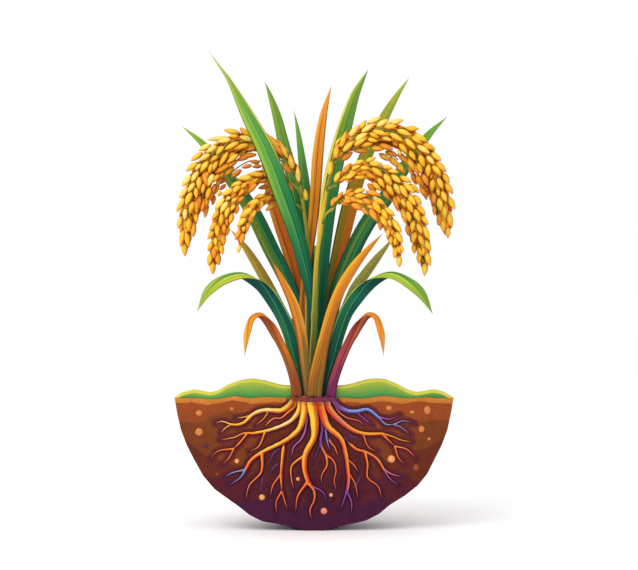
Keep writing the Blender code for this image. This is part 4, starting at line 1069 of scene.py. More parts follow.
# Blades: y at the foot, y at the tip, power, roll at the tip in degrees, fold; then rows of u, v, width.
blades = tableOf(rowsOf, {
    "leaf_front_right": """
    -0.0375,-0.15,1.25,16,-0.14 314.3,396.6,15 315.6,382,15.2 318.6,366,14.2 322.8,346,12 326.8,330,11.2
    332.6,309,10.8 341,288,10.4 350,272.5,9.6 359,260,8 370,247,5 382.9,233.4,0
    """,
    "leaf_front_left": """
    -0.0315,-0.13,1.25,-16,-0.14 308.5,396.6,8 307.7,388,8.5 305.3,367,9.8 300.8,331.4,10.5 293.6,304.6,9.8
    283.2,282.3,6.5 277.5,271,3.6 272.4,262.2,0
    """,
    "leaf_bent_left": """
    -0.0275,-0.185,1.25,158,-0.2 297.4,396.6,10.5 295.4,384,9.8 291.6,370,8.8 284.5,352,8.2 275.6,334.5,8.4
    267.6,322,9 259.6,316.6,10 251.8,320.4,9.5 247.4,333,7 244.6,355.8,0
    """,
    "leaf_bent_right": """
    -0.0275,-0.18,1.25,-158,-0.2 330.6,396.6,10.5 332.8,384,9.6 337.2,370,8.8 344.6,351,9 354,333,8.6
    361.5,322,9 369,316.4,10 376.6,320,9.5 381.3,333,7 383.8,355.5,0
    """,
    "leaf_arch_left": """
    -0.0215,-0.19,1.25,150,-0.19 303.6,396.6,8 300.8,380,11 294.6,354,12 288.8,331,13.2 282.4,316,13.2
    271.6,298,12.6 262,287.2,12.6 251,280.8,13.4 238,277.6,14.4 222,280.6,13 208,292,9 197.4,310.9,0
    """,
    "leaf_arch_right": """
    -0.0215,-0.185,1.25,-150,-0.19 323.6,396.6,8 326.8,380,11 332.4,357,12 338.6,333,12.8 345.4,314,13.2
    354.6,299.5,13.2 366.4,287,13.2 380,279.4,13.8 394.5,277.2,14.4 409,283,14 421.6,294.8,9.5
    432.6,313.6,0
    """,
    "leaf_tall_left": """
    -0.0015,-0.088,2,-14,-0.13 311.5,396.6,8 312.5,345,8 311.5,300,10 305,266,13.5 294.5,228,16.5
    281,190,18 267,153,17.5 247.5,115,13 229,80,4.5 218.5,65,1.8 209,51,0
    """,
    "leaf_tall_right": """
    0.005,0.024,1.25,14,0.13 320.5,396.6,9 319.5,330,10.5 322.6,266,13 327.5,209,17 333.5,172,17 343,134,15
    354.6,96,9.5 361.5,82,5 368.2,69.7,0
    """,
    "leaf_orange_mid": """
    0.0135,0.045,1.25,12,0.13 306.5,396.6,8 303.5,340,8.5 303.8,300,8.5 307,265,9 312,228,10 315.6,190,11
    318.2,153,11 323.5,115,7.5 331.3,85.7,0
    """,
    "leaf_wide_right": """
    0.011,0.1,1.25,16,0.14 329.5,396.6,10 329.5,330,12 339,285,14.5 354.5,247,16 370,219,16 387,196,15.5
    404,168,13 427.5,136,7.5 447.2,116.6,0
    """,
    "leaf_wide_left": """
    0.019,0.105,1.25,-16,0.14 302.5,396.6,10 302,330,12 288.5,285,15 270,247,16.5 256.5,219,16
    245.5,200,14.5 229,177,12 204.5,145.4,7.5 182,126.2,0
    """,
    "leaf_slim_mid": """
    0.0195,0.08,1.25,-12,0.13 313,396.6,7 311,340,8 309,260,9.5 305.6,190,10 302.6,165,8.5 298.4,134,4.8
    294,110,0
    """,
    "leaf_olive_back": """
    0.018,0.125,1.25,14,0.14 325,396.6,8 326,330,8.5 331,285,10 340,247,15 349,209,16.5 357,180,15
    370,146,13 385.5,115,10 397,95.5,5.5 409.2,77.6,0
    """,
    "leaf_brown_back": """
    0.024,0.115,1.25,-14,0.14 306.5,396.6,7.5 305.5,330,8 297.3,285,10 287,247,12.5 274,209,10 266.5,181,6
    261,156,0
    """,
    "leaf_green_back": """
    0.03,0.175,1.25,-12,0.14 314.5,396.6,8 312.5,330,10 307,260,13 297,195,14 284,145,12 276.6,115,9
    270.5,96.5,5 264.7,81.4,0
    """,
    "leaf_low_right": """
    0.0265,0.165,1.25,18,0.15 326,396.6,8 330.5,362,8.5 341,322,9.5 353.6,291,10.5 363,277,10 376,259.5,8
    386,247,4 395,235,0
    """,
    "leaf_low_left": """
    0.0285,0.165,1.25,-18,0.15 304,396.6,8 298.5,370,8.5 286.5,322,9.5 275,298,10.5 262.8,275.5,10
    247.5,250.5,7 238.5,239,3.6 230,228.7,0
    """,
})
# Blades that lean away behind the clump: fold; then rows of x, y, z, width in metres.
rearBlades = tableOf(rowsOf, {
    "leaf_rear_arch": """
    0.12 0.0065,0.0345,0.269,0.011 0.007,0.048,0.35,0.021 0.008,0.09,0.47,0.027 0.008,0.155,0.56,0.028
    0.006,0.225,0.575,0.025 0.003,0.275,0.52,0.016 0.002,0.297,0.45,0
    """,
    "leaf_rear_tall": """
    0.12 -0.006,0.035,0.269,0.011 -0.016,0.056,0.39,0.018 -0.024,0.088,0.53,0.021 -0.023,0.138,0.64,0.018
    -0.024,0.186,0.715,0
    """,
    "leaf_rear_left": """
    0.12 -0.0185,0.0345,0.269,0.01 -0.027,0.062,0.32,0.018 -0.034,0.112,0.39,0.024 -0.036,0.18,0.425,0.022
    -0.04,0.235,0.398,0.015 -0.044,0.262,0.345,0
    """,
    "leaf_rear_right": """
    0.12 0.019,0.034,0.269,0.01 0.031,0.06,0.315,0.018 0.042,0.108,0.375,0.023 0.048,0.168,0.392,0.021
    0.05,0.215,0.357,0.014 0.047,0.24,0.305,0
    """,
})
bladeLook = {
    "steps": 84, "rearSteps": 70, "across": 12, "half": 0.0009, "ripple": 0.0005, "footZ": 0.2655,
    # the UV map of the side drawn lies this far to the right
    "drawnShift": 2.0,
    # a turning blade leans the other way first, rolls over, and its fold turns inside out
    "firstTurn": 20, "turnedBy": 0.25, "rollOver": (0.40, 0.90), "foldOver": (0.42, 0.60),
    "foldOut": (0.75, 0.95), "crestFold": 1.7, "tipFold": 0.5, "wider": 0.1,
}
strawBlades = "front_right front_left bent_left bent_right orange_mid brown_back".split()


def huesOf(text):
    # colours from foot to tip of the side drawn (front) and the other side, each followed by its bands:
    # from, to across; from, to along; softness; colours along. Besides the blades' own markings, the bands
    # hold painted shade on the darker half of a folded blade, and painted highlights in yellow edge bands
    # and thin light streaks
    look = {"frontBands": [], "backBands": []}
    for line in text.strip().splitlines():
        head, *stops = line.split()
        if head in ("front", "back"):
            side = head
            look[side] = stopsOf(stops)
        else:
            look[side + "Bands"].append((*rowsOf(head)[0], stopsOf(stops)))
    return look


# Blade colours with painted light: darker half bands are painted shade, yellow edge bands and light streaks
# are painted highlights.
bladeColoursAndPaintedLight = tableOf(huesOf, {
    "leaf_tall_left": """
    front 0:084e42 0.3:0e624a 0.44:227c48 0.52:4e9644 0.7:6ca83c 0.85:90b838 1:cece46
    0.5,1.1,-1,2,0.02 0:044640 0.35:0c624c 0.55:28844c 0.78:60a446 1:bec842
    0.04,0.22,0.52,0.9,0.03 0.5:60a044 0.65:8cba3e 0.9:a8c442
    0.29,0.4,0.4,0.86,0.02 0.4:32844e 0.6:60a646 0.9:80b446
    0.44,0.475,0.12,0.84,0.01 0.1:328660 0.5:6eb260 1:b4ce5a
    0.5,0.54,0.12,0.9,0.012 0:023838 1:3c8636
    0.66,0.7,0.12,0.62,0.015 0:1e7660 1:469e60
    -1,0.045,-1,2,0.02 0:04342e 1:50842c
    0.88,1.1,0.66,2,0.02 0.6:a0c048 0.72:fae05a 1:e2d654
    back 0:145c3e 0.4:408842 0.8:7ab042 1:a0c242
    """,
    "leaf_tall_right": """
    front 0:064a42 0.3:106848 0.5:28783e 0.68:5c8a2e 0.85:7ea632 1:96b438
    0.52,1.1,-1,2,0.02 0:04423c 0.4:085c42 0.6:22703c 0.75:54862e 1:6c9230
    -1,0.13,0.36,0.95,0.02 0.3:96be46 0.5:f8e460 1:e8de54
    0.48,0.53,0.3,0.93,0.012 0:064632 1:287028
    0.05,0.34,0.12,0.36,0.03 0.1:288042 0.35:4a9c4c
    back 0:105a3e 0.4:3c8842 1:96be42
    """,
    "leaf_orange_mid": """
    front 0:6e3e1e 0.3:a85c1c 0.55:da821a 0.85:ec901c 1:f69a28
    -1,0.24,0.2,2,0.03 0.2:c87828 0.6:fab034 1:fcaa32
    0.4,0.47,-1,0.9,0.02 0:6e3218 1:a04e12
    0.58,0.72,0.3,0.9,0.03 0:c46e22 1:e29632
    0.86,1.1,-1,2,0.03 0:783618 1:b8601a
    back 0:824220 0.5:c46822 1:ee962e
    """,
    "leaf_wide_right": """
    front 0:043e38 0.35:126240 0.62:2c7e46 0.85:589a34 1:8cb836
    0.26,0.44,0.12,0.62,0.03 0.1:2c6636 0.5:6a903c
    0.6,0.635,0.25,0.8,0.012 0.2:328250 0.7:62b05c
    0.8,1.1,-1,2,0.03 0:033432 0.6:105838 1:6ea632
    back 0:12543a 0.5:3a803e 1:8cb83e
    """,
    "leaf_wide_left": """
    front 0:08463a 0.3:3e7c3c 0.6:709e3e 0.85:82b03a 1:9cc03c
    0.5,1.1,-1,2,0.03 0:023a3a 0.3:0a5c4a 0.6:22764a 0.8:4c943c 1:8cb83a
    0.2,0.26,0.28,0.58,0.015 0:96a038 1:cec242
    0.55,0.6,0.2,0.7,0.012 0:32804c 1:6eb45c
    0.86,1.1,0.74,2,0.02 0.7:c8ce50 1:e2d852
    back 0:12543a 0.5:42843c 1:8cb83e
    """,
    "leaf_slim_mid": """
    front 0:0a523a 0.6:308046 0.82:54a646 1:92c248
    0.55,1.1,-1,2,0.03 0:084a38 0.6:247442 1:6eb042
    0.28,0.36,0.35,0.85,0.02 0:549c60 1:96c864
    back 0:145a3c 0.6:3c8846 1:8cbe48
    """,
    "leaf_olive_back": """
    front 0:60481e 0.35:9e8224 0.6:ac9628 0.8:a6ac32 1:b0ba36
    0.48,1.1,-1,0.66,0.03 0:82381a 0.4:d46e1c 0.62:d87e22
    -1,0.08,-1,0.7,0.02 0:3c381a 1:58541e
    0.6,1.1,0.66,2,0.04 0.6:788828 1:96a830
    back 0:604e24 0.5:8c7e2c 1:acb83c
    """,
    "leaf_brown_back": """
    front 0:963824 0.25:dc6c26 0.6:f4922a 1:f49c30
    0.52,1.1,-1,2,0.03 0:822a24 0.3:c85822 0.6:e27222 1:e6842a
    0.2,0.26,0.2,0.8,0.02 0:dc7c2c 1:faaa3e
    0.4,0.52,0.1,0.8,0.03 0:964222 1:c4601c
    back 0:743820 1:d28230
    """,
    "leaf_green_back": """
    front 0:084c3c 0.4:1a6a3c 0.7:4c903c 1:98b836
    0.52,1.1,-1,2,0.03 0:064236 0.6:2c7836 1:76a032
    0.24,0.31,0.45,0.92,0.02 0.4:6eaa50 1:b0c850
    0.7,0.75,0.5,0.88,0.015 0.4:5a9642 1:96ba46
    back 0:14563a 1:8cb43c
    """,
    "leaf_low_right": """
    front 0:5c7c4a 0.35:b0ba6a 0.8:c6c058 1:c8ac3e
    0.5,1.1,-1,2,0.03 0:507044 0.5:a0aa5c 1:b8aa46
    0.3,0.37,0.3,0.85,0.02 0:8c9642 1:beb450
    back 0:465a2c 1:a09c40
    """,
    "leaf_low_left": """
    front 0:54763e 0.25:80984a 0.5:b0a83e 0.75:d4b438 1:cc9e32
    0.52,1.1,-1,2,0.03 0:466032 0.3:687c3a 0.5:9a8830 1:ba9032
    0.22,0.3,0.3,0.85,0.02 0:aaa446 1:cebe54
    back 0:5a5c2a 1:b4a03e
    """,
    "leaf_front_left": """
    front 0:76642c 0.2:9c742c 0.45:d68a28 0.75:ec9026 1:e88428
    0.5,1.1,-1,0.45,0.03 0:625c28 0.45:967028
    -1,0.16,-1,2,0.03 0:5c4a24 0.5:be5c22 1:ce6824
    0.45,0.5,-1,0.85,0.015 0:5c4622 1:b0561a
    0.8,1.1,0.36,0.96,0.03 0.3:ce822e 0.6:fcbe3e 1:fab036
    back 0:785c2c 1:e28c30
    """,
    "leaf_front_right": """
    front 0:8c5c20 0.2:b66e1e 0.5:e48e1e 0.8:f4a622 1:d88c28
    0.54,1.1,-1,2,0.02 0:705620 0.3:a8601a 0.65:d67c1a 1:d68424
    -1,0.17,0.1,2,0.03 0.1:c48024 0.4:fab028 1:f4b034
    0.42,0.47,-1,0.9,0.015 0:603e1c 1:965418
    0.7,0.8,-1,0.8,0.03 0:846828 1:d68c32
    back 0:825c2a 1:e29232
    """,
    "leaf_arch_left": """
    front 0:104a34 0.18:287a42 0.36:24804c 0.5:0a5c4a 0.7:044a48 1:1e6e46
    0.52,1.1,-1,0.62,0.03 0:083e30 0.3:085c44 0.6:044646
    0.46,0.5,0.1,0.62,0.012 0:469660 1:60b078
    0.9,1.1,0.28,0.62,0.012 0.25:5aa05a 0.6:c4da60
    back 0.4:96ba42 0.62:bac638 0.82:b8c434 1:96b032
    -1,0.66,-1,0.84,0.02 0.5:549646 0.66:6ea842 0.8:96bc3e
    -1,0.48,0.8,2,0.03 0.8:96bc42 1:92b438
    0.6,0.67,0.52,0.82,0.015 0.5:2c7c3e 0.8:3c8838
    0.5,0.57,0.78,0.97,0.015 0.7:3c8838 1:6ea036
    0.69,0.76,0.52,0.84,0.02 0.5:aacc54 0.8:d4da54
    """,
    "leaf_arch_right": """
    front 0:0a3e34 0.18:085442 0.36:0c6448 0.5:0a5a4a 0.7:044a48 1:1e6e46
    -1,0.48,-1,0.55,0.03 0:063632 0.3:085442 0.5:146c46
    0.5,0.54,0.1,0.62,0.012 0:469660 1:60b078
    -1,0.1,0.28,0.62,0.012 0.25:5aa05a 0.6:c4da60
    back 0.4:8cb842 0.62:b0c438 0.82:a0ba34 1:84a832
    0.34,1.1,-1,0.84,0.02 0.5:549646 0.66:6ea842 0.8:82b23e
    0.52,1.1,0.8,2,0.03 0.8:7eb03e 1:689c38
    0.33,0.4,0.52,0.82,0.015 0.5:28783e 0.8:328038
    0.43,0.5,0.78,0.97,0.015 0.7:328038 1:509036
    0.24,0.31,0.52,0.84,0.02 0.5:aacc54 0.8:c8d650
    """,
    "leaf_bent_left": """
    front 0:8c4226 0.3:b06426 0.5:aa5c26 0.66:a04a22 1:c86e24
    0.62,1.1,0.06,0.72,0.04 0:8c4226 0.2:a45224 0.36:e0781e 0.5:d6681e 0.65:96381a
    0.44,0.49,-1,0.6,0.015 0:602a1c 1:703018
    back 0.4:d6681e 0.62:ec8c22 0.85:f09622 1:d8882c
    0.6,0.68,0.45,0.86,0.02 0:be5a1a 1:ce701e
    -1,0.58,0.5,2,0.04 0.6:f6a82c 1:f0b03c
    """,
    "leaf_bent_right": """
    front 0:7a2a5c 0.22:842e58 0.42:92363e 0.6:963c2a 1:be6024
    -1,0.4,0.1,0.72,0.04 0:90385c 0.3:aa424a 0.5:a03c34 0.68:842822
    0.56,0.8,0.25,0.72,0.04 0.2:b04e48 0.6:c4683e
    0.5,0.55,-1,0.6,0.015 0:581c4a 1:682428
    0.84,1.1,-1,0.3,0.03 0:642054 1:782a3c
    back 0.4:d6681e 0.62:ec8c22 0.85:ec8e22 1:ce7c2c
    0.32,0.4,0.45,0.86,0.02 0:be5a1a 1:ce701e
    0.42,1.1,0.5,2,0.04 0.6:f6a62c 1:eca238
    """,
    "rear": """
    front 0:0e543c 0.35:287840 0.7:60a03e 1:96be3e
    0.5,1.1,-1,2,0.02 0:084638 0.4:1a683c 0.75:4a903a 1:8cb83c
    0.46,0.5,0.1,0.95,0.012 0:5aa05a 1:b0ce60
    0.93,1.1,0.4,2,0.02 0.3:96ba46 1:ded650
    back 0:12583e 0.4:328244 0.75:6eaa42 1:9cc042
    """,
})
midribs = {
    "green": [(0.47, 0.53, 0.04, 0.96, 0.015, [(0, (120, 150, 80)), (1, (170, 190, 90))])],
    "straw": [(0.47, 0.53, 0.04, 0.96, 0.015, [(0, (150, 90, 44)), (1, (236, 170, 80))])],
}


def bladePaint(name, look, seed):
    paint = Paint(name, rough=0.5, gloss=0.12)
    x, y = paint.uv()
    isFront = paint.maths("GREATER_THAN", x, 1.5)
    u = paint.less(x, paint.times(isFront, bladeLook["drawnShift"]))
    long = paint.times(y, 3.2)
    drift = paint.noise(paint.stretched(u, 0.6, long, seed), 2.2, 2.0)
    across = paint.plus(u, paint.sway(drift, 0.06))

    def painted(stops, bands):
        colour = paint.ramp(y, stops)
        for low, high, first, last, soft, hues in bands:
            share = paint.times(paint.band(across, low, high, soft), paint.band(y, first, last, 0.05))
            colour = paint.mix(share, colour, paint.ramp(y, hues))
        return colour

    isStraw = look["back"][0][1][0] > 90
    backBands = look["backBands"] or midribs["straw" if isStraw else "green"]
    colour = paint.mix(isFront, painted(look["back"], backBands), painted(look["front"], look["frontBands"]))
    wide = paint.noise(paint.stretched(u, 9.0, long, seed + 5.0), 1.5, 4.0)
    fine = paint.noise(paint.stretched(u, 42.0, long, seed + 9.0), 1.6, 4.0)
    colour = paint.shade(colour, wide, 0.86, 1.12)
    colour = paint.shade(colour, fine, 0.92, 1.07)
    rim = paint.maths("MAXIMUM", paint.step(u, 0.985, 0.012), paint.below(u, 0.015, 0.012))
    colour = paint.cover(colour, tint((30, 40, 22)), rim, 0.45)
    veins = paint.maths("SINE", paint.times(u, 100.0))
    return paint.finish(colour, paint.plus(paint.times(veins, 0.35), fine), 0.0005, 0.45)


def rollAngle(roll, t):
    if abs(roll) <= 90:
        return math.radians(roll) * min(1.0, t * 1.6)
    over = ease(t, *bladeLook["rollOver"])
    first = bladeLook["firstTurn"] * min(1.0, t / bladeLook["turnedBy"])
    return math.radians(math.copysign(abs(roll) * over - first * (1 - over), roll))


def drawnSection(nearY, farY, power, roll, fold, rows):
    # (centre, across, outward, width, fold) along a blade whose outline is drawn
    look = bladeLook
    turned = abs(roll) > 90
    steps = smoothLine(rows, look["steps"])
    lengths = [0.0]
    for a, b in zip(steps, steps[1:]):
        lengths.append(lengths[-1] + math.hypot(b[0] - a[0], b[1] - a[1]))
    shares = [s / lengths[-1] for s in lengths]
    points = [place(u, v, nearY + (farY - nearY) * t ** power) for (u, v, _), t in zip(steps, shares)]
    section = []
    for (_, _, width), t, p, d in zip(steps, shares, points, tangents(points)):
        side, toward = facing(d)
        angle = rollAngle(roll, t)
        width *= 1 + look["wider"] * min(1.0, t / look["turnedBy"]) if turned else 1 / math.cos(angle)
        across = side * math.cos(angle) + toward * math.sin(angle)
        deep = fold * (0.3 + 0.7 * min(1.0, t / 0.3))
        if turned:
            deep *= 1 - (1 + look["crestFold"]) * ease(t, *look["foldOver"])
            deep += fold * (look["crestFold"] - look["tipFold"]) * ease(t, *look["foldOut"])
        section.append((p, across, d.cross(across).normalized(), max(width, 0) * unit, deep))
    return section


def rearSection(fold, rows):
    steps = smoothLine([(r[1], r[2], *r) for r in rows], bladeLook["rearSteps"])
    points = [Vector(s[2:5]) for s in steps]
    section = []
    for i, (step, p, d) in enumerate(zip(steps, points, tangents(points))):
        level = d.cross(Vector((0, 0, 1)))
        flat = Vector((1, -0.1, 0)) if level.length < 0.3 else level
        across = Vector((1, 0, 0)) * 0.6 + flat.normalized() * math.copysign(0.4, flat.x)
        across = (across - d * across.dot(d)).normalized()
        deep = fold * min(1.0, 0.3 + 4 * i / len(steps))
        section.append((p, across, d.cross(across).normalized(), max(step[5], 0), deep))
    return section


def buildBlade(name, section, look, slotName, seed):
    last = len(section) - 1
    shape = newShape()
    for side, shift in ((1, 0.0), (-1, bladeLook["drawnShift"])):

        def where(s, t, side=side):
            i = round(t * last)
            centre, across, out, width, fold = section[i]
            w = 2 * s - 1
            thick = bladeLook["half"] * (1 - w * w) * min(1.0, i / 3)
            ripple = bladeLook["ripple"] * abs(w) ** 3 * math.sin(17 * t + 2 * w + seed)
            ripple *= min(1.0, width / 0.02)
            lift = fold * width * (1 - abs(w) ** 1.35) + side * thick + ripple
            point = centre + across * (width / 2 * w) + out * lift
            if i == 0:
                point.z = bladeLook["footZ"]
            return point

        addPatch(shape, bladeLook["across"], last, where, shift=shift)
    piece = pieceName("blade", name)
    makePiece(piece, shape, bladePaint(piece + "Skin", look, seed), slotName, name)


def buildBlades():
    for count, (name, (start, *rows)) in enumerate(blades.items()):
        slotName = "straw" if name[5:] in strawBlades else "leaf"
        buildBlade(name, drawnSection(*start, rows), bladeColoursAndPaintedLight[name], slotName, count * 1.7)
    for count, (name, ((fold,), *rows)) in enumerate(rearBlades.items()):
        buildBlade(name, rearSection(fold, rows), bladeColoursAndPaintedLight["rear"], "leaf", 40 + count * 2.3)


buildBlades()
print("blades are made")

# Stalks: lines of u, v, radius in units, y: the culm, then its side branches.
stalkLines = tableOf(linesOf, {
    "culm_right": """
    313,396.6,3,-0.013 312.6,352,3.1,-0.014 313.8,330,3,-0.015 315,300,2.8,-0.017 316.8,260,2.4,-0.021
    321,228,2.1,-0.026 326.8,190.5,1.7,-0.034 333.2,165,1.2,-0.04 | 321.6,225,1.1,-0.0265
    326,214.5,1,-0.045 332.2,208.6,0.9,-0.066 | 326.6,191.4,1.1,-0.034 331.5,187.6,1,-0.047
    336.6,185.6,0.9,-0.06
    """,
    "culm_left": """
    309,396.6,2.4,0.005 308.2,360,2.4,0.0055 307.6,320,2.3,0.006 308,270,2.1,0.007 307.3,236,1.9,0.008
    304,211,1.6,0.009 300.4,186,1.2,0.01 | 304.2,212,1,0.009 299,206,0.9,0.006 291.5,202.2,0.8,0.003 |
    302.2,199,1,0.0095 298,189.5,0.9,-0.003 293.6,184,0.9,-0.008
    """,
})
stalkHues = {
    "culm_right": "0:465626 0.2:68742a 0.42:928e2c 0.6:c4aa2e 0.8:e2ba32 1:d6b032",
    "culm_left": "0:5c5c28 0.35:807c2e 0.7:969434 1:b0a036",
}
stalkLook = {
    "sides": 16, "steps": 60, "branchSteps": 16, "footZ": 0.2660,
    "joints": ((21, 0.22), (42, 0.2)), "jointLength": 1.1,       # step and swelling
}


def stalkPaint(name, stops):
    paint = Paint(name, rough=0.5, gloss=0.14)
    x, y = paint.uv()
    # a painted highlight stripe along one side of the stalk, and painted shade, a darker green, along the
    # side across from it
    colour = paint.cover(paint.ramp(y, stops), tint((250, 226, 92)), paint.band(x, 0.36, 0.46, 0.05), 0.5)
    dark = paint.maths("MAXIMUM", paint.step(x, 0.86, 0.08), paint.below(x, 0.10, 0.08))
    colour = paint.cover(colour, tint((70, 112, 42)), dark, 0.6)
    ribs = paint.noise(paint.stretched(x, 30.0, paint.times(y, 4.0)), 1.5, 3.0)
    return paint.finish(paint.shade(colour, ribs, 0.88, 1.10), ribs, 0.0005, 0.5)


def buildStalks():
    look = stalkLook
    for name, (culm, *branches) in stalkLines.items():
        shape = newShape()
        rows = [(place(u, v, y), r * unit) for u, v, r, y in smoothLine(culm, look["steps"])]
        rows[0][0].z = look["footZ"]
        swollen = []
        for i, (p, r) in enumerate(rows):
            swell = [much * math.exp(-((i - at) / look["jointLength"]) ** 2) for at, much in look["joints"]]
            swollen.append((p, r * (1 + swell[0] + swell[1])))
        addTube(shape, swollen, look["sides"])
        for line in branches:
            rows = [(place(u, v, y), r * unit) for u, v, r, y in smoothLine(line, look["branchSteps"])]
            addTube(shape, rows, look["sides"])
        piece = pieceName("stalk", name)
        makePiece(piece, shape, stalkPaint(piece + "Skin", stalkHues[name]), "stalk", name)


buildStalks()
print("stalks are made")

# Grain heads: rows of u, v, half width, y.
heads = tableOf(rowsOf, {
    "head_right_top": """
    333.8,163.2,1.6,-0.04 341,148,10.5,-0.04 353,140.5,13,-0.04 367.5,135.5,16,-0.04 384,134.5,18,-0.038
    402,138,18.5,-0.036 417,148,18.5,-0.034 427.5,163,17.5,-0.032 434,180,17,-0.03 439.5,197,15,-0.028
    443.2,212,11.5,-0.028 446,226,7.5,-0.028 447.5,239,0,-0.028
    """,
    "head_right_mid": """
    337.2,185.4,1.2,-0.0615 345,175.5,8.5,-0.075 356,171,10.5,-0.084 368,170.5,12,-0.088 380,177,14,-0.09
    392,187,15,-0.09 402.5,198,15,-0.088 411,211,14.5,-0.086 417,226,13,-0.084 421,240,11,-0.082
    423.3,253,8.5,-0.08 424.4,265,5.8,-0.08 424.5,276,0,-0.08
    """,
    "head_right_low": """
    332.9,208.2,1.2,-0.068 339,201,6.5,-0.09 350,197.8,8,-0.112 362,200,10,-0.126 373,206,11.5,-0.132
    383,215.5,11,-0.134 389.5,226,10,-0.134 394.2,238,8.5,-0.132 397.6,250,6,-0.13 399.7,267.3,0,-0.128
    """,
    "head_left_top": """
    300.1,184.6,1.2,0.0102 297.5,174,5,0.012 291.5,163,7,0.014 281,151.5,9,0.016 268,143.5,11,0.018
    254,142,14,0.018 240,144,16.5,0.016 226,150,18.5,0.012 213.5,161,19,0.008 204,174,19,0.004
    197.5,188,18,0 192.5,202,17,-0.002 189,215,14.5,-0.004 186.5,230,10.5,-0.004 185,243,7,-0.004
    185,256.6,0,-0.004
    """,
    "head_left_mid": """
    293.1,183.4,1.2,-0.0085 286,178,4.5,-0.008 274,175,7.5,-0.007 262,176,9,-0.01 251,181,10,-0.024
    241,188,11,-0.044 232,198,12,-0.062 226,209,12.5,-0.068 221.5,221,12,-0.07 218.5,234,10.5,-0.07
    216,247,8.5,-0.07 214.4,260,6,-0.068 213.2,275,0,-0.068
    """,
    "head_left_low": """
    290.9,202,1.1,0.0025 278,197,6,0.003 266,199.5,8,-0.006 256,205,8.5,-0.04 249,213,9,-0.074
    245,222,8,-0.1 242.4,232,6.5,-0.106 240,243,4.5,-0.108 238.5,253,0,-0.108
    """,
})
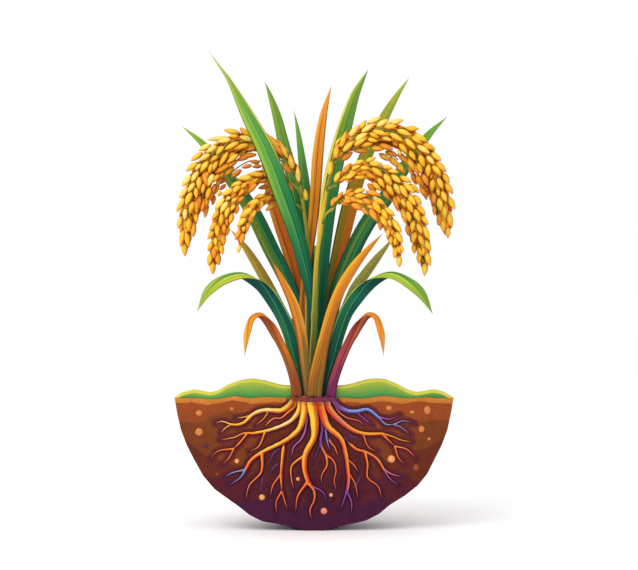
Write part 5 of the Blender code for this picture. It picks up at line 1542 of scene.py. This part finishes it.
# Grains of the front as drawn: base and tip (u, v) and tone: p pale, y yellow, g golden, o orange, d dim.
# The pale tones are partly painted highlight, and the orange and dim ones partly painted shade deeper in the
# head.
frontGrains = {
    "head_right_top": """
    341,148,346.5,130.5,g 335.5,159,337.5,144,g 329.5,176,332,160.5,y 349.5,137,359,125,p
    359.5,129,366.5,120,y 367,124,381.5,117,p 361,132.5,375.5,123.5,p 376,127,389.5,119.5,p
    388.5,124,403.5,120,p 383.5,127,397,126.5,y 396.5,130,411.5,135.5,y 405.5,128.5,419,129,g
    414,134.5,427,141.5,y 411,136.5,422,143.5,g 422,144,435.5,149.5,g 430.5,152.5,441.5,161,y
    435.5,161.5,446.5,172,g 442.5,172.5,449.5,183.5,g 444.5,182.5,453,194,g 448,196,455,210,y
    448,212.5,452,227.5,y 447.5,226,448,238.5,y 342.5,152,354.5,140.5,y 355,140.5,368,133,p
    354,146,368,136.5,y 372,131,388,135,y 389,133,403,141.5,y 404.5,138.5,415.5,149.5,y
    416.5,145.5,430,153.5,p 426.5,155.5,434,164.5,p 432,165,441,176,y 437.5,177.5,443,189,y
    441.5,190.5,446.5,202.5,y 443.5,205,445.5,219,y 442.5,219.5,443.5,232.5,y 399,143,407.5,153.5,g
    409,150,415.5,160.5,g 419.5,154,424.5,167.5,g 428.5,163.5,428,177,g 431.5,173.5,431,179,o
    433,178.5,432,191.5,g 437.5,188.5,439,196,y 439,197.5,441,211.5,y 434,192,434,204.5,o
    434.5,205,434.5,215.5,o 440,213,438.5,226,o 408.5,158,414.5,171,g 418.5,162,421.5,174,g
    423,173,428,186,o 420,177.5,423.5,189,d 425,189.5,426.5,200,d 402,155.5,408.5,164.5,o
    412,172,416.5,185,d 392.5,142,398,146.5,d 341,160.5,353,152,o 352.5,150,369,151.5,o 361,146,373,143.5,g
    367,139,378,141.5,y 369,133,379,138,g 370,148,384,149.5,g 378.5,144.5,393.5,149.5,o
    381.5,137.5,392,140.5,y 385,151.5,398,156,o 398,149.5,401,155.5,p 379,153.5,390.5,161,g
    389,157,399,167,g 395.5,162,405,173.5,g 414.5,163,418.5,176,o 417.5,174,421,187,o 421,184,424.5,197,o
    409,165,413.5,176,o 398,152.5,407,163,o
    """,
    "head_right_mid": """
    334.5,182.5,341,171,y 343,173.5,351.5,163,o 354.5,164,364.5,160.5,y 365.5,162,376,157.5,y
    351.5,169.5,361,165.5,y 360,168,370,168.5,y 369,163.5,382.5,164.5,y 381,166.5,392.5,168,y
    387,170.5,399,172.5,y 399,176.5,411.5,182.5,y 408.5,184,419.5,193,g 403,183.5,415,193.5,y
    413.5,195,421.5,205,g 416.5,205,425.5,215.5,g 420.5,215.5,428.5,225,y 422.5,225,429.5,240,y
    424,239.5,431,251,y 425.5,251,430.5,266,y 425,262.5,424.5,276,y 371.5,168,383,176.5,g
    384,173.5,392,185.5,y 390.5,175,401,183,y 399.5,185,407.5,197.5,y 408,194,415.5,205.5,y
    406.5,200,413,213.5,g 414,208.5,420,222,y 417,223,422,234,y 419,234.5,423.5,246,y
    423.5,246.5,423.5,256,g 418,247,422,256,g 419,252.5,419,264,g 378,177.5,384.5,188,g
    386.5,184,393.5,196,g 394,183,400,194.5,y 401.5,198.5,405.5,207.5,y 402,207.5,406,224,g
    407.5,210.5,410,222.5,y 413.5,220,412,232.5,y 415.5,230.5,412.5,244,g 413.5,243,414.5,254,g
    407.5,223.5,408.5,236,o 394,194.5,398,211.5,o 396.5,195,400.5,204,o 383.5,190,389.5,200,o
    339,181.5,345.5,178,o 345.5,179,356,173.5,y 346.5,181.5,354.5,180,o 354.5,177.5,365,178,g
    366,174,376.5,178.5,o 367.5,183.5,376.5,192.5,o 372,182.5,381.5,191,y
    """,
    "head_right_low": """
    331.5,206.5,335.5,196.5,o 337.5,199.5,343,191.5,o 344.5,194.5,353,189,o 347,196,356.5,192.5,o
    354,192.5,365.5,189.5,y 354.5,196.5,367,196,g 342.5,202,355,200,o 341,203,351,204.5,o
    351,204,363.5,210,o 361.5,208.5,369,215,o 365.5,191.5,381.5,196,o 362,199,372,204.5,o
    372.5,198.5,385,204.5,g 373,201,381,213.5,g 370,208,377.5,221.5,o 381.5,208.5,388,219.5,g
    384,208,395,216,y 391.5,218.5,402,233,y 381,215.5,387,227,g 388,219,391,226.5,y 380,219.5,380.5,230.5,d
    388.5,228,388,237.5,y 391,235,391,245,g 392.5,229.5,392,235.5,o 396,231.5,402.5,243,y
    395.5,237,395,246,g 397.5,245.5,400.5,254,g 400,244.5,403,253,y 396,246.5,394.5,258.5,g
    399,255,399.5,267.5,y
    """,
    "head_left_top": """
    299,183,297.5,165.5,p 306.5,201,305,188.5,y 292.5,191,288.5,182.5,o 250,136.5,239.5,127.5,g
    252,140.5,239,136.5,p 240,133,223.5,130,y 239,136.5,228.5,136.5,g 228,137.5,207.5,140,p
    231.5,139.5,216.5,142,p 211,144.5,198.5,151,p 202.5,152.5,191,161,y 198,162,186,171.5,y
    191.5,175,182,186.5,p 188,186.5,179.5,198.5,p 185,197.5,176.5,212,y 181.5,216.5,178,229,y
    184,229,180.5,247,g 184.5,242,185,256.5,g 217,146,206,153,p 224,146,216,155,y 239.5,142,224,150,y
    249,144.5,233.5,149.5,g 255.5,148,245.5,150,o 210.5,154,199,161,p 201.5,163.5,195,170.5,p
    208.5,161,200.5,172,y 198.5,171,191.5,182,p 195,182.5,188,192.5,p 192,191.5,185.5,205.5,y
    185.5,208,185,220,p 189,217,189,232,g 193,222,193.5,237,g 186,231.5,189,247.5,g 218.5,155.5,210,161.5,g
    228.5,151.5,219,167,g 235.5,152.5,228,157.5,o 239,154,226,163.5,y 257,154.5,239.5,156.5,o
    212,163.5,209,173.5,g 217.5,160.5,213,171,g 226.5,166.5,214.5,173.5,o 234,167,223,176.5,g
    199.5,176.5,199,190,g 204,171.5,207.5,187,o 207.5,171,207,178.5,o 213.5,173.5,208,186.5,p
    220,174.5,211,183,g 196,187,196.5,198.5,g 204,183,202.5,194,g 193.5,201,190,214,g 227,177.5,219.5,184,d
    226,184,219.5,190.5,d 215,183.5,212.5,194.5,o 210.5,186.5,206.5,200,g 199.5,194.5,199.5,208.5,d
    196,200,197,214,o 196,213,196.5,223,g 207,201,205,218,o 214.5,195,212.5,205.5,o 251,155,236,161,o
    238,160,224,169,o 230,164,216.5,172,o 224,172,216.5,180.5,o 222,177,216,187,o 218.5,183.5,214,195,o
    207.5,196,205.5,209,o 212.5,189,210.5,201,o 203.5,198,202,212,o 226,178.5,218.5,184.5,o
    280,151,266.5,133,g 288.5,159.5,279.5,141.5,y 284,156,272,144,o 293,169.5,289.5,154.5,y
    292.5,174,281,163.5,o
    """,
    "head_left_mid": """
    260,162.5,249.5,161.5,d 262,166,252,167,d 252,165,241.5,168,d 241.5,169.5,231,178,d
    264,175,246.5,174.5,g 252,177.5,237.5,179,y 241.5,182.5,230.5,186.5,y 258.5,178.5,245,188.5,o
    246.5,183,241,189,g 240.5,186,230.5,194,y 244,189,238,196.5,g 257,183.5,245,195,o 267.5,179.5,258,183,d
    269,186,258,188.5,d 270,190,264.5,194,d 233,189.5,221.5,195.5,y 221,191,218,196.5,g
    224.5,197.5,215,210,p 230.5,197,226,200,p 228,201.5,220.5,213,p 229,206.5,225.5,218,y
    237,198,231,202.5,y 243.5,190,238.5,196.5,g 244,196.5,237.5,202.5,o 235,204.5,230.5,211,y
    238,205,236,214.5,o 219,210.5,212,220,g 222,213.5,221,225.5,g 232.5,212.5,230,224,g 227,218,227,226,o
    217,222,209.5,231,g 217.5,224,217.5,237,g 224,222.5,224.5,234,o 228,226,227,236,o
    214.5,230,207.5,239.5,g 216,237,215.5,246,y 222,232.5,224,245.5,o 212.5,241,208,251.5,g
    214.5,245.5,214,258.5,o 221,244,222.5,255,g 211.5,252.5,208.5,266,g 217,251.5,219,265.5,o
    212.5,261,213,274.5,g
    """,
    "head_left_low": """
    264.5,194.5,254,198.5,y 272.5,196.5,261,202,o 260,200.5,246.5,205.5,y 263.5,203,256.5,210,y
    274.5,204.5,265.5,211,g 252.5,208,241.5,217,y 255.5,210,250,220,y 246,218,237,227,y
    249,222.5,246,231.5,o 244,226,243.5,232,g 241,229.5,235,240,o 243.5,232.5,241,244.5,o
    239.5,244,238,253.5,p
    """,
}
# Stems inside the heads: radius, then points, in units.
headStems = tableOf(linesOf, {
    "head_right_top": """
    0.9 326,190 333,168 342,150 352,140 366,132 385,130 400,134.5 411,143 418,152 424,166 431,186 438,208
    442,226 | 0.6 400,134.5 408,142 414,150 417,164 | 0.6 342,152 356,149 372,146 388,150 398,160
    """,
    "head_right_mid": """
    0.9 331,188 345,175 352,169.5 368,167 379,169 388,174 399,185 408,200 415,220 420,240 423,262 | 0.6
    379,169 388,180 396,192 402,206 408,226 411,242
    """,
    "head_right_low": """
    0.9 331,212 339,202 350,197 366,196.5 374,200 383,209 390,224 396,244 | 0.6 354,198 362,204 370,212
    378,224
    """,
    "head_left_top": """
    0.9 300,187 296,175 290,166 276,150 258,143 240,142 228,145 215,153 203,162 196,180 190,205 186,230 |
    0.6 228,146 218,158 210,172 204,190 199,210 | 0.7 303,208 299,190 292,175 283,163 273,151 266,140 | 0.6
    262,161 250,161 240,166 232,172
    """,
    "head_left_mid": """
    0.9 293,184 280,177 262,176 248,181 236,191 226,206 219,224 214,246 213,262 | 0.6 262,177 250,190
    240,202 232,216
    """,
    "head_left_low": "0.9 291,202 278,198 266,200 255,206 248,216 243,230 240,244",
})
# Each tone's painted highlight, body and painted edge shade.
grainTones = {
    "p": [(255, 230, 118), (255, 198, 66), (206, 120, 28)],
    "y": [(255, 214, 70), (252, 176, 42), (200, 104, 20)],
    "g": [(255, 198, 52), (246, 156, 32), (190, 90, 16)],
    "o": [(250, 168, 42), (238, 134, 28), (176, 80, 14)],
    "d": [(228, 140, 38), (204, 106, 24), (140, 64, 14)],
}
grainLook = {
    "squash": 0.72, "length": 13.2, "width": 6.0, "thick": 0.80, "splay": 0.30, "spacing": 6.0,
    # light: the way each grain's painted highlight is turned
    "light": Vector((-0.6, 0.0, 0.8)), "bulge": 0.86, "stand": 0.003, "sink": 0.0025,
    "baseBack": 0.0045, "tipOut": 0.0010,
    # width of a front grain: least, most, share of its length, and area
    "least": 4.4, "most": 6.8, "share": 0.47, "area": 102, "small": 0.018, "smaller": 0.92,
    # shells behind the front grains: (reach across, reach in depth, tones, angle cut, smallest half width);
    # the inner shell's darker tones are partly painted shade inside the head
    "shells": [(0.52, 0.88, "yggo", 0.10, 4.5), (0.28, 0.42, "og", 9.0, 8.0)],
    "rimShare": 0.95, "rimRoom": 4.2, "fullHalf": 13, "overlap": 0.88, "jitter": 0.12, "sway": 0.14,
    "lengths": (0.86, 1.06), "widths": (0.9, 1.06), "splays": (0.4, 1.2), "finderSteps": 60, "shellSteps": 80,
    "leastHalf": 3.0, "stemSides": 8, "stemSink": 0.004,
}


def grainTemplate(index, lit):
    # a pointed husk from the origin to one up y, its outer side towards +z and its painted highlight side
    # along x
    shape = newShape()
    bmesh.ops.create_uvsphere(shape, u_segments=8, v_segments=7, radius=1.0)
    sheet = shape.loops.layers.uv["UVMap"]
    for vert in shape.verts:
        x, y, z = vert.co
        t = (z + 1) / 2
        belly = math.sin(math.pi * min(1.0, t * 0.95 + 0.03)) ** 0.78 * (1 - 0.30 * t) * 1.16
        ring = math.hypot(x, y) or 1.0
        vert.co = (x / ring * belly, z, y / ring * belly) if abs(z) < 0.99 else (0.0, z, 0.0)
    for face in shape.faces:
        for loop in face.loops:
            p = loop.vert.co
            paintedHighlight = max(-1.0, min(1.0, 0.92 * p.z + 0.42 * lit * p.x))
            loop[sheet].uv = (2 * index + 0.5 + 0.45 * paintedHighlight, (p.y + 1) / 2)
    for vert in shape.verts:
        t = (vert.co.y + 1) / 2
        vert.co = (vert.co.x * 0.5, t, vert.co.z * 0.5 + 0.10 * math.sin(math.pi * t))
    bmesh.ops.recalc_face_normals(shape, faces=shape.faces)
    return meshOf(shape, "husk")


def grainPaint():
    paint = Paint("grainHusk", rough=0.45, gloss=0.18)
    x, y = paint.uv()
    tone = paint.maths("FLOOR", paint.times(x, 0.5))
    out = paint.less(x, paint.times(tone, 2.0))
    pick = paint.plus(paint.maths("DIVIDE", tone, float(len(grainTones))), 0.1)
    picks = []
    for part in range(3):
        stops = [(k / len(grainTones), hues[part]) for k, hues in enumerate(grainTones.values())]
        picks.append(paint.ramp(pick, stops))
        picks[-1].node.color_ramp.interpolation = "CONSTANT"
    # each tone's painted highlight, body colour and painted edge shade: the highlight lies on the outward
    # side of a grain and the side turned to the light, the shade on its sides where it meets the grains
    # around it
    paintedHighlight, body, edge = picks
    spot = paint.here()
    colour = paint.mix(paint.step(out, 0.70, 0.16), body, paintedHighlight)
    colour = paint.cover(colour, body, paint.step(y, 0.70, 0.4), 0.4)
    colour = paint.cover(colour, edge, paint.below(out, 0.53, 0.09), 0.85)
    colour = paint.cover(colour, tint((140, 92, 30)), paint.below(y, 0.07, 0.06), 0.8)
    colour = paint.cover(colour, tint((176, 96, 28)), paint.step(y, 0.95, 0.04), 0.6)
    colour = paint.shade(colour, paint.noise(spot, 60.0, 2.0), 0.90, 1.08)
    colour = paint.shade(colour, paint.noise(spot, 420.0, 3.0), 0.93, 1.05)
    return paint.finish(colour, paint.noise(spot, 520.0, 3.0), 0.0005, 0.35)


def headFinder(rows):
    look = grainLook
    steps = smoothLine(rows, look["finderSteps"])

    def find(u, v):
        # (y of the middle line there, how far the head bulges from it towards the viewer)
        best = min(steps, key=lambda s: (s[0] - u) ** 2 + (s[1] - v) ** 2)
        half = max(best[2], look["leastHalf"])
        offset = min(1.0, math.hypot(best[0] - u, best[1] - v) / half)
        return best[3], look["squash"] * half * unit * rounded(offset) * look["bulge"]

    return find


def addGrain(shape, templates, tone, base, tip, outward, width):
    along = tip - base
    up = along.normalized()
    out = (outward - up * outward.dot(up)).normalized()
    side = up.cross(out).normalized()
    turn = Matrix((side, up, out)).transposed()
    size = Matrix.Diagonal((width, along.length, width * grainLook["thick"]))
    before = len(shape.verts)
    shape.from_mesh(templates[tone, 1 if side.dot(grainLook["light"]) > 0 else -1])
    shape.verts.ensure_lookup_table()
    move = Matrix.Translation(base) @ (turn @ size).to_4x4()
    bmesh.ops.transform(shape, matrix=move, verts=shape.verts[before:])


def addFrontGrain(shape, templates, find, word):
    look = grainLook
    *numbers, tone = word.split(",")
    u0, v0, u1, v1 = (float(n) for n in numbers)
    y, bulge = find((u0 + u1) / 2, (v0 + v1) / 2)
    front = y - bulge - look["stand"]
    if tone in "od":
        front += look["sink"]
    long = math.hypot(u1 - u0, v1 - v0)
    width = max(look["least"], min(look["most"], long * look["share"], look["area"] / long)) * unit
    outward = Vector((dice.uniform(-0.15, 0.15) - 0.1, -1, 0.22 + dice.uniform(-0.1, 0.1)))
    base, tip = place(u0, v0, front + look["baseBack"]), place(u1, v1, front - look["tipOut"])
    addGrain(shape, templates, tone, base, tip, outward, width)


def addRing(shape, templates, centre, half, ways, shell):
    # grains round the head at one place of its middle line
    look = grainLook
    across, deep, tones, cut, _ = shell
    squash = look["squash"]
    d, side, toward = ways
    thin = min(1.0, half / look["fullHalf"])
    across = min(across, max(0.0, look["rimShare"] - look["rimRoom"] / half))
    half *= unit
    room = look["width"] * unit * look["overlap"]
    around = max(3, round(2 * math.pi * half * (across + deep * squash) / 2 / room))
    start = dice.random() * 6.3
    for k in range(around):
        a = start + 2 * math.pi * k / around + dice.uniform(-look["jitter"], look["jitter"])
        if math.sin(a) > cut:
            continue
        out = side * math.cos(a) * across + toward * math.sin(a) * squash * deep
        middle = centre + out * half
        outward = (side * math.cos(a) * squash + toward * math.sin(a)).normalized()
        way = d + outward * look["splay"] * thin * dice.uniform(*look["splays"])
        way = (way + side * thin * dice.uniform(-look["sway"], look["sway"])).normalized()
        length = look["length"] * unit * dice.uniform(*look["lengths"])
        if half < look["small"]:
            length *= look["smaller"]
        reach = way * length * 0.5
        tone = dice.choice(tones)
        width = look["width"] * unit * dice.uniform(*look["widths"])
        addGrain(shape, templates, tone, middle - reach, middle + reach, outward, width)


def addShells(shape, templates, rows):
    # sides, back and core, made the same way all along the head
    look = grainLook
    steps = smoothLine(rows, look["shellSteps"])
    points = [place(u, v, y) for u, v, _, y in steps]
    ways = [(d, *facing(d)) for d in tangents(points)]
    travelled, due = 0.0, look["spacing"]
    for i in range(1, len(steps)):
        travelled += (points[i] - points[i - 1]).length / unit
        if travelled < due:
            continue
        due += look["spacing"]
        for shell in look["shells"]:
            if steps[i][2] >= shell[-1]:
                addRing(shape, templates, points[i], steps[i][2], ways[i], shell)


def buildHeads():
    look = grainLook
    husk = grainPaint()
    templates = {(tone, lit): grainTemplate(k, lit) for k, tone in enumerate(grainTones) for lit in (-1, 1)}
    paint = Paint("headStem", rough=0.55, gloss=0.25)
    paint.finish(paint.ramp(paint.noise(paint.here(), 120.0, 2.0), "0.35:607422 0.65:9ea036"))
    for name, rows in heads.items():
        find = headFinder(rows)
        shape = newShape()
        for word in frontGrains[name].split():
            addFrontGrain(shape, templates, find, word)
        addShells(shape, templates, rows)
        makePiece(pieceName("grains", name), shape, husk, "grain", name, weld=1e-9, turn=False)
        stems = newShape()
        for (radius,), *path in headStems[name]:
            line = []
            for u, v in smoothLine(path, 10 * len(path)):
                y, bulge = find(u, v)
                line.append((place(u, v, y - max(0.0, bulge - look["stemSink"])), radius * unit))
            addTube(stems, line, look["stemSides"])
        makePiece(pieceName("stem", name), stems, paint.material, "stalk")


buildHeads()
print("grain heads are made")
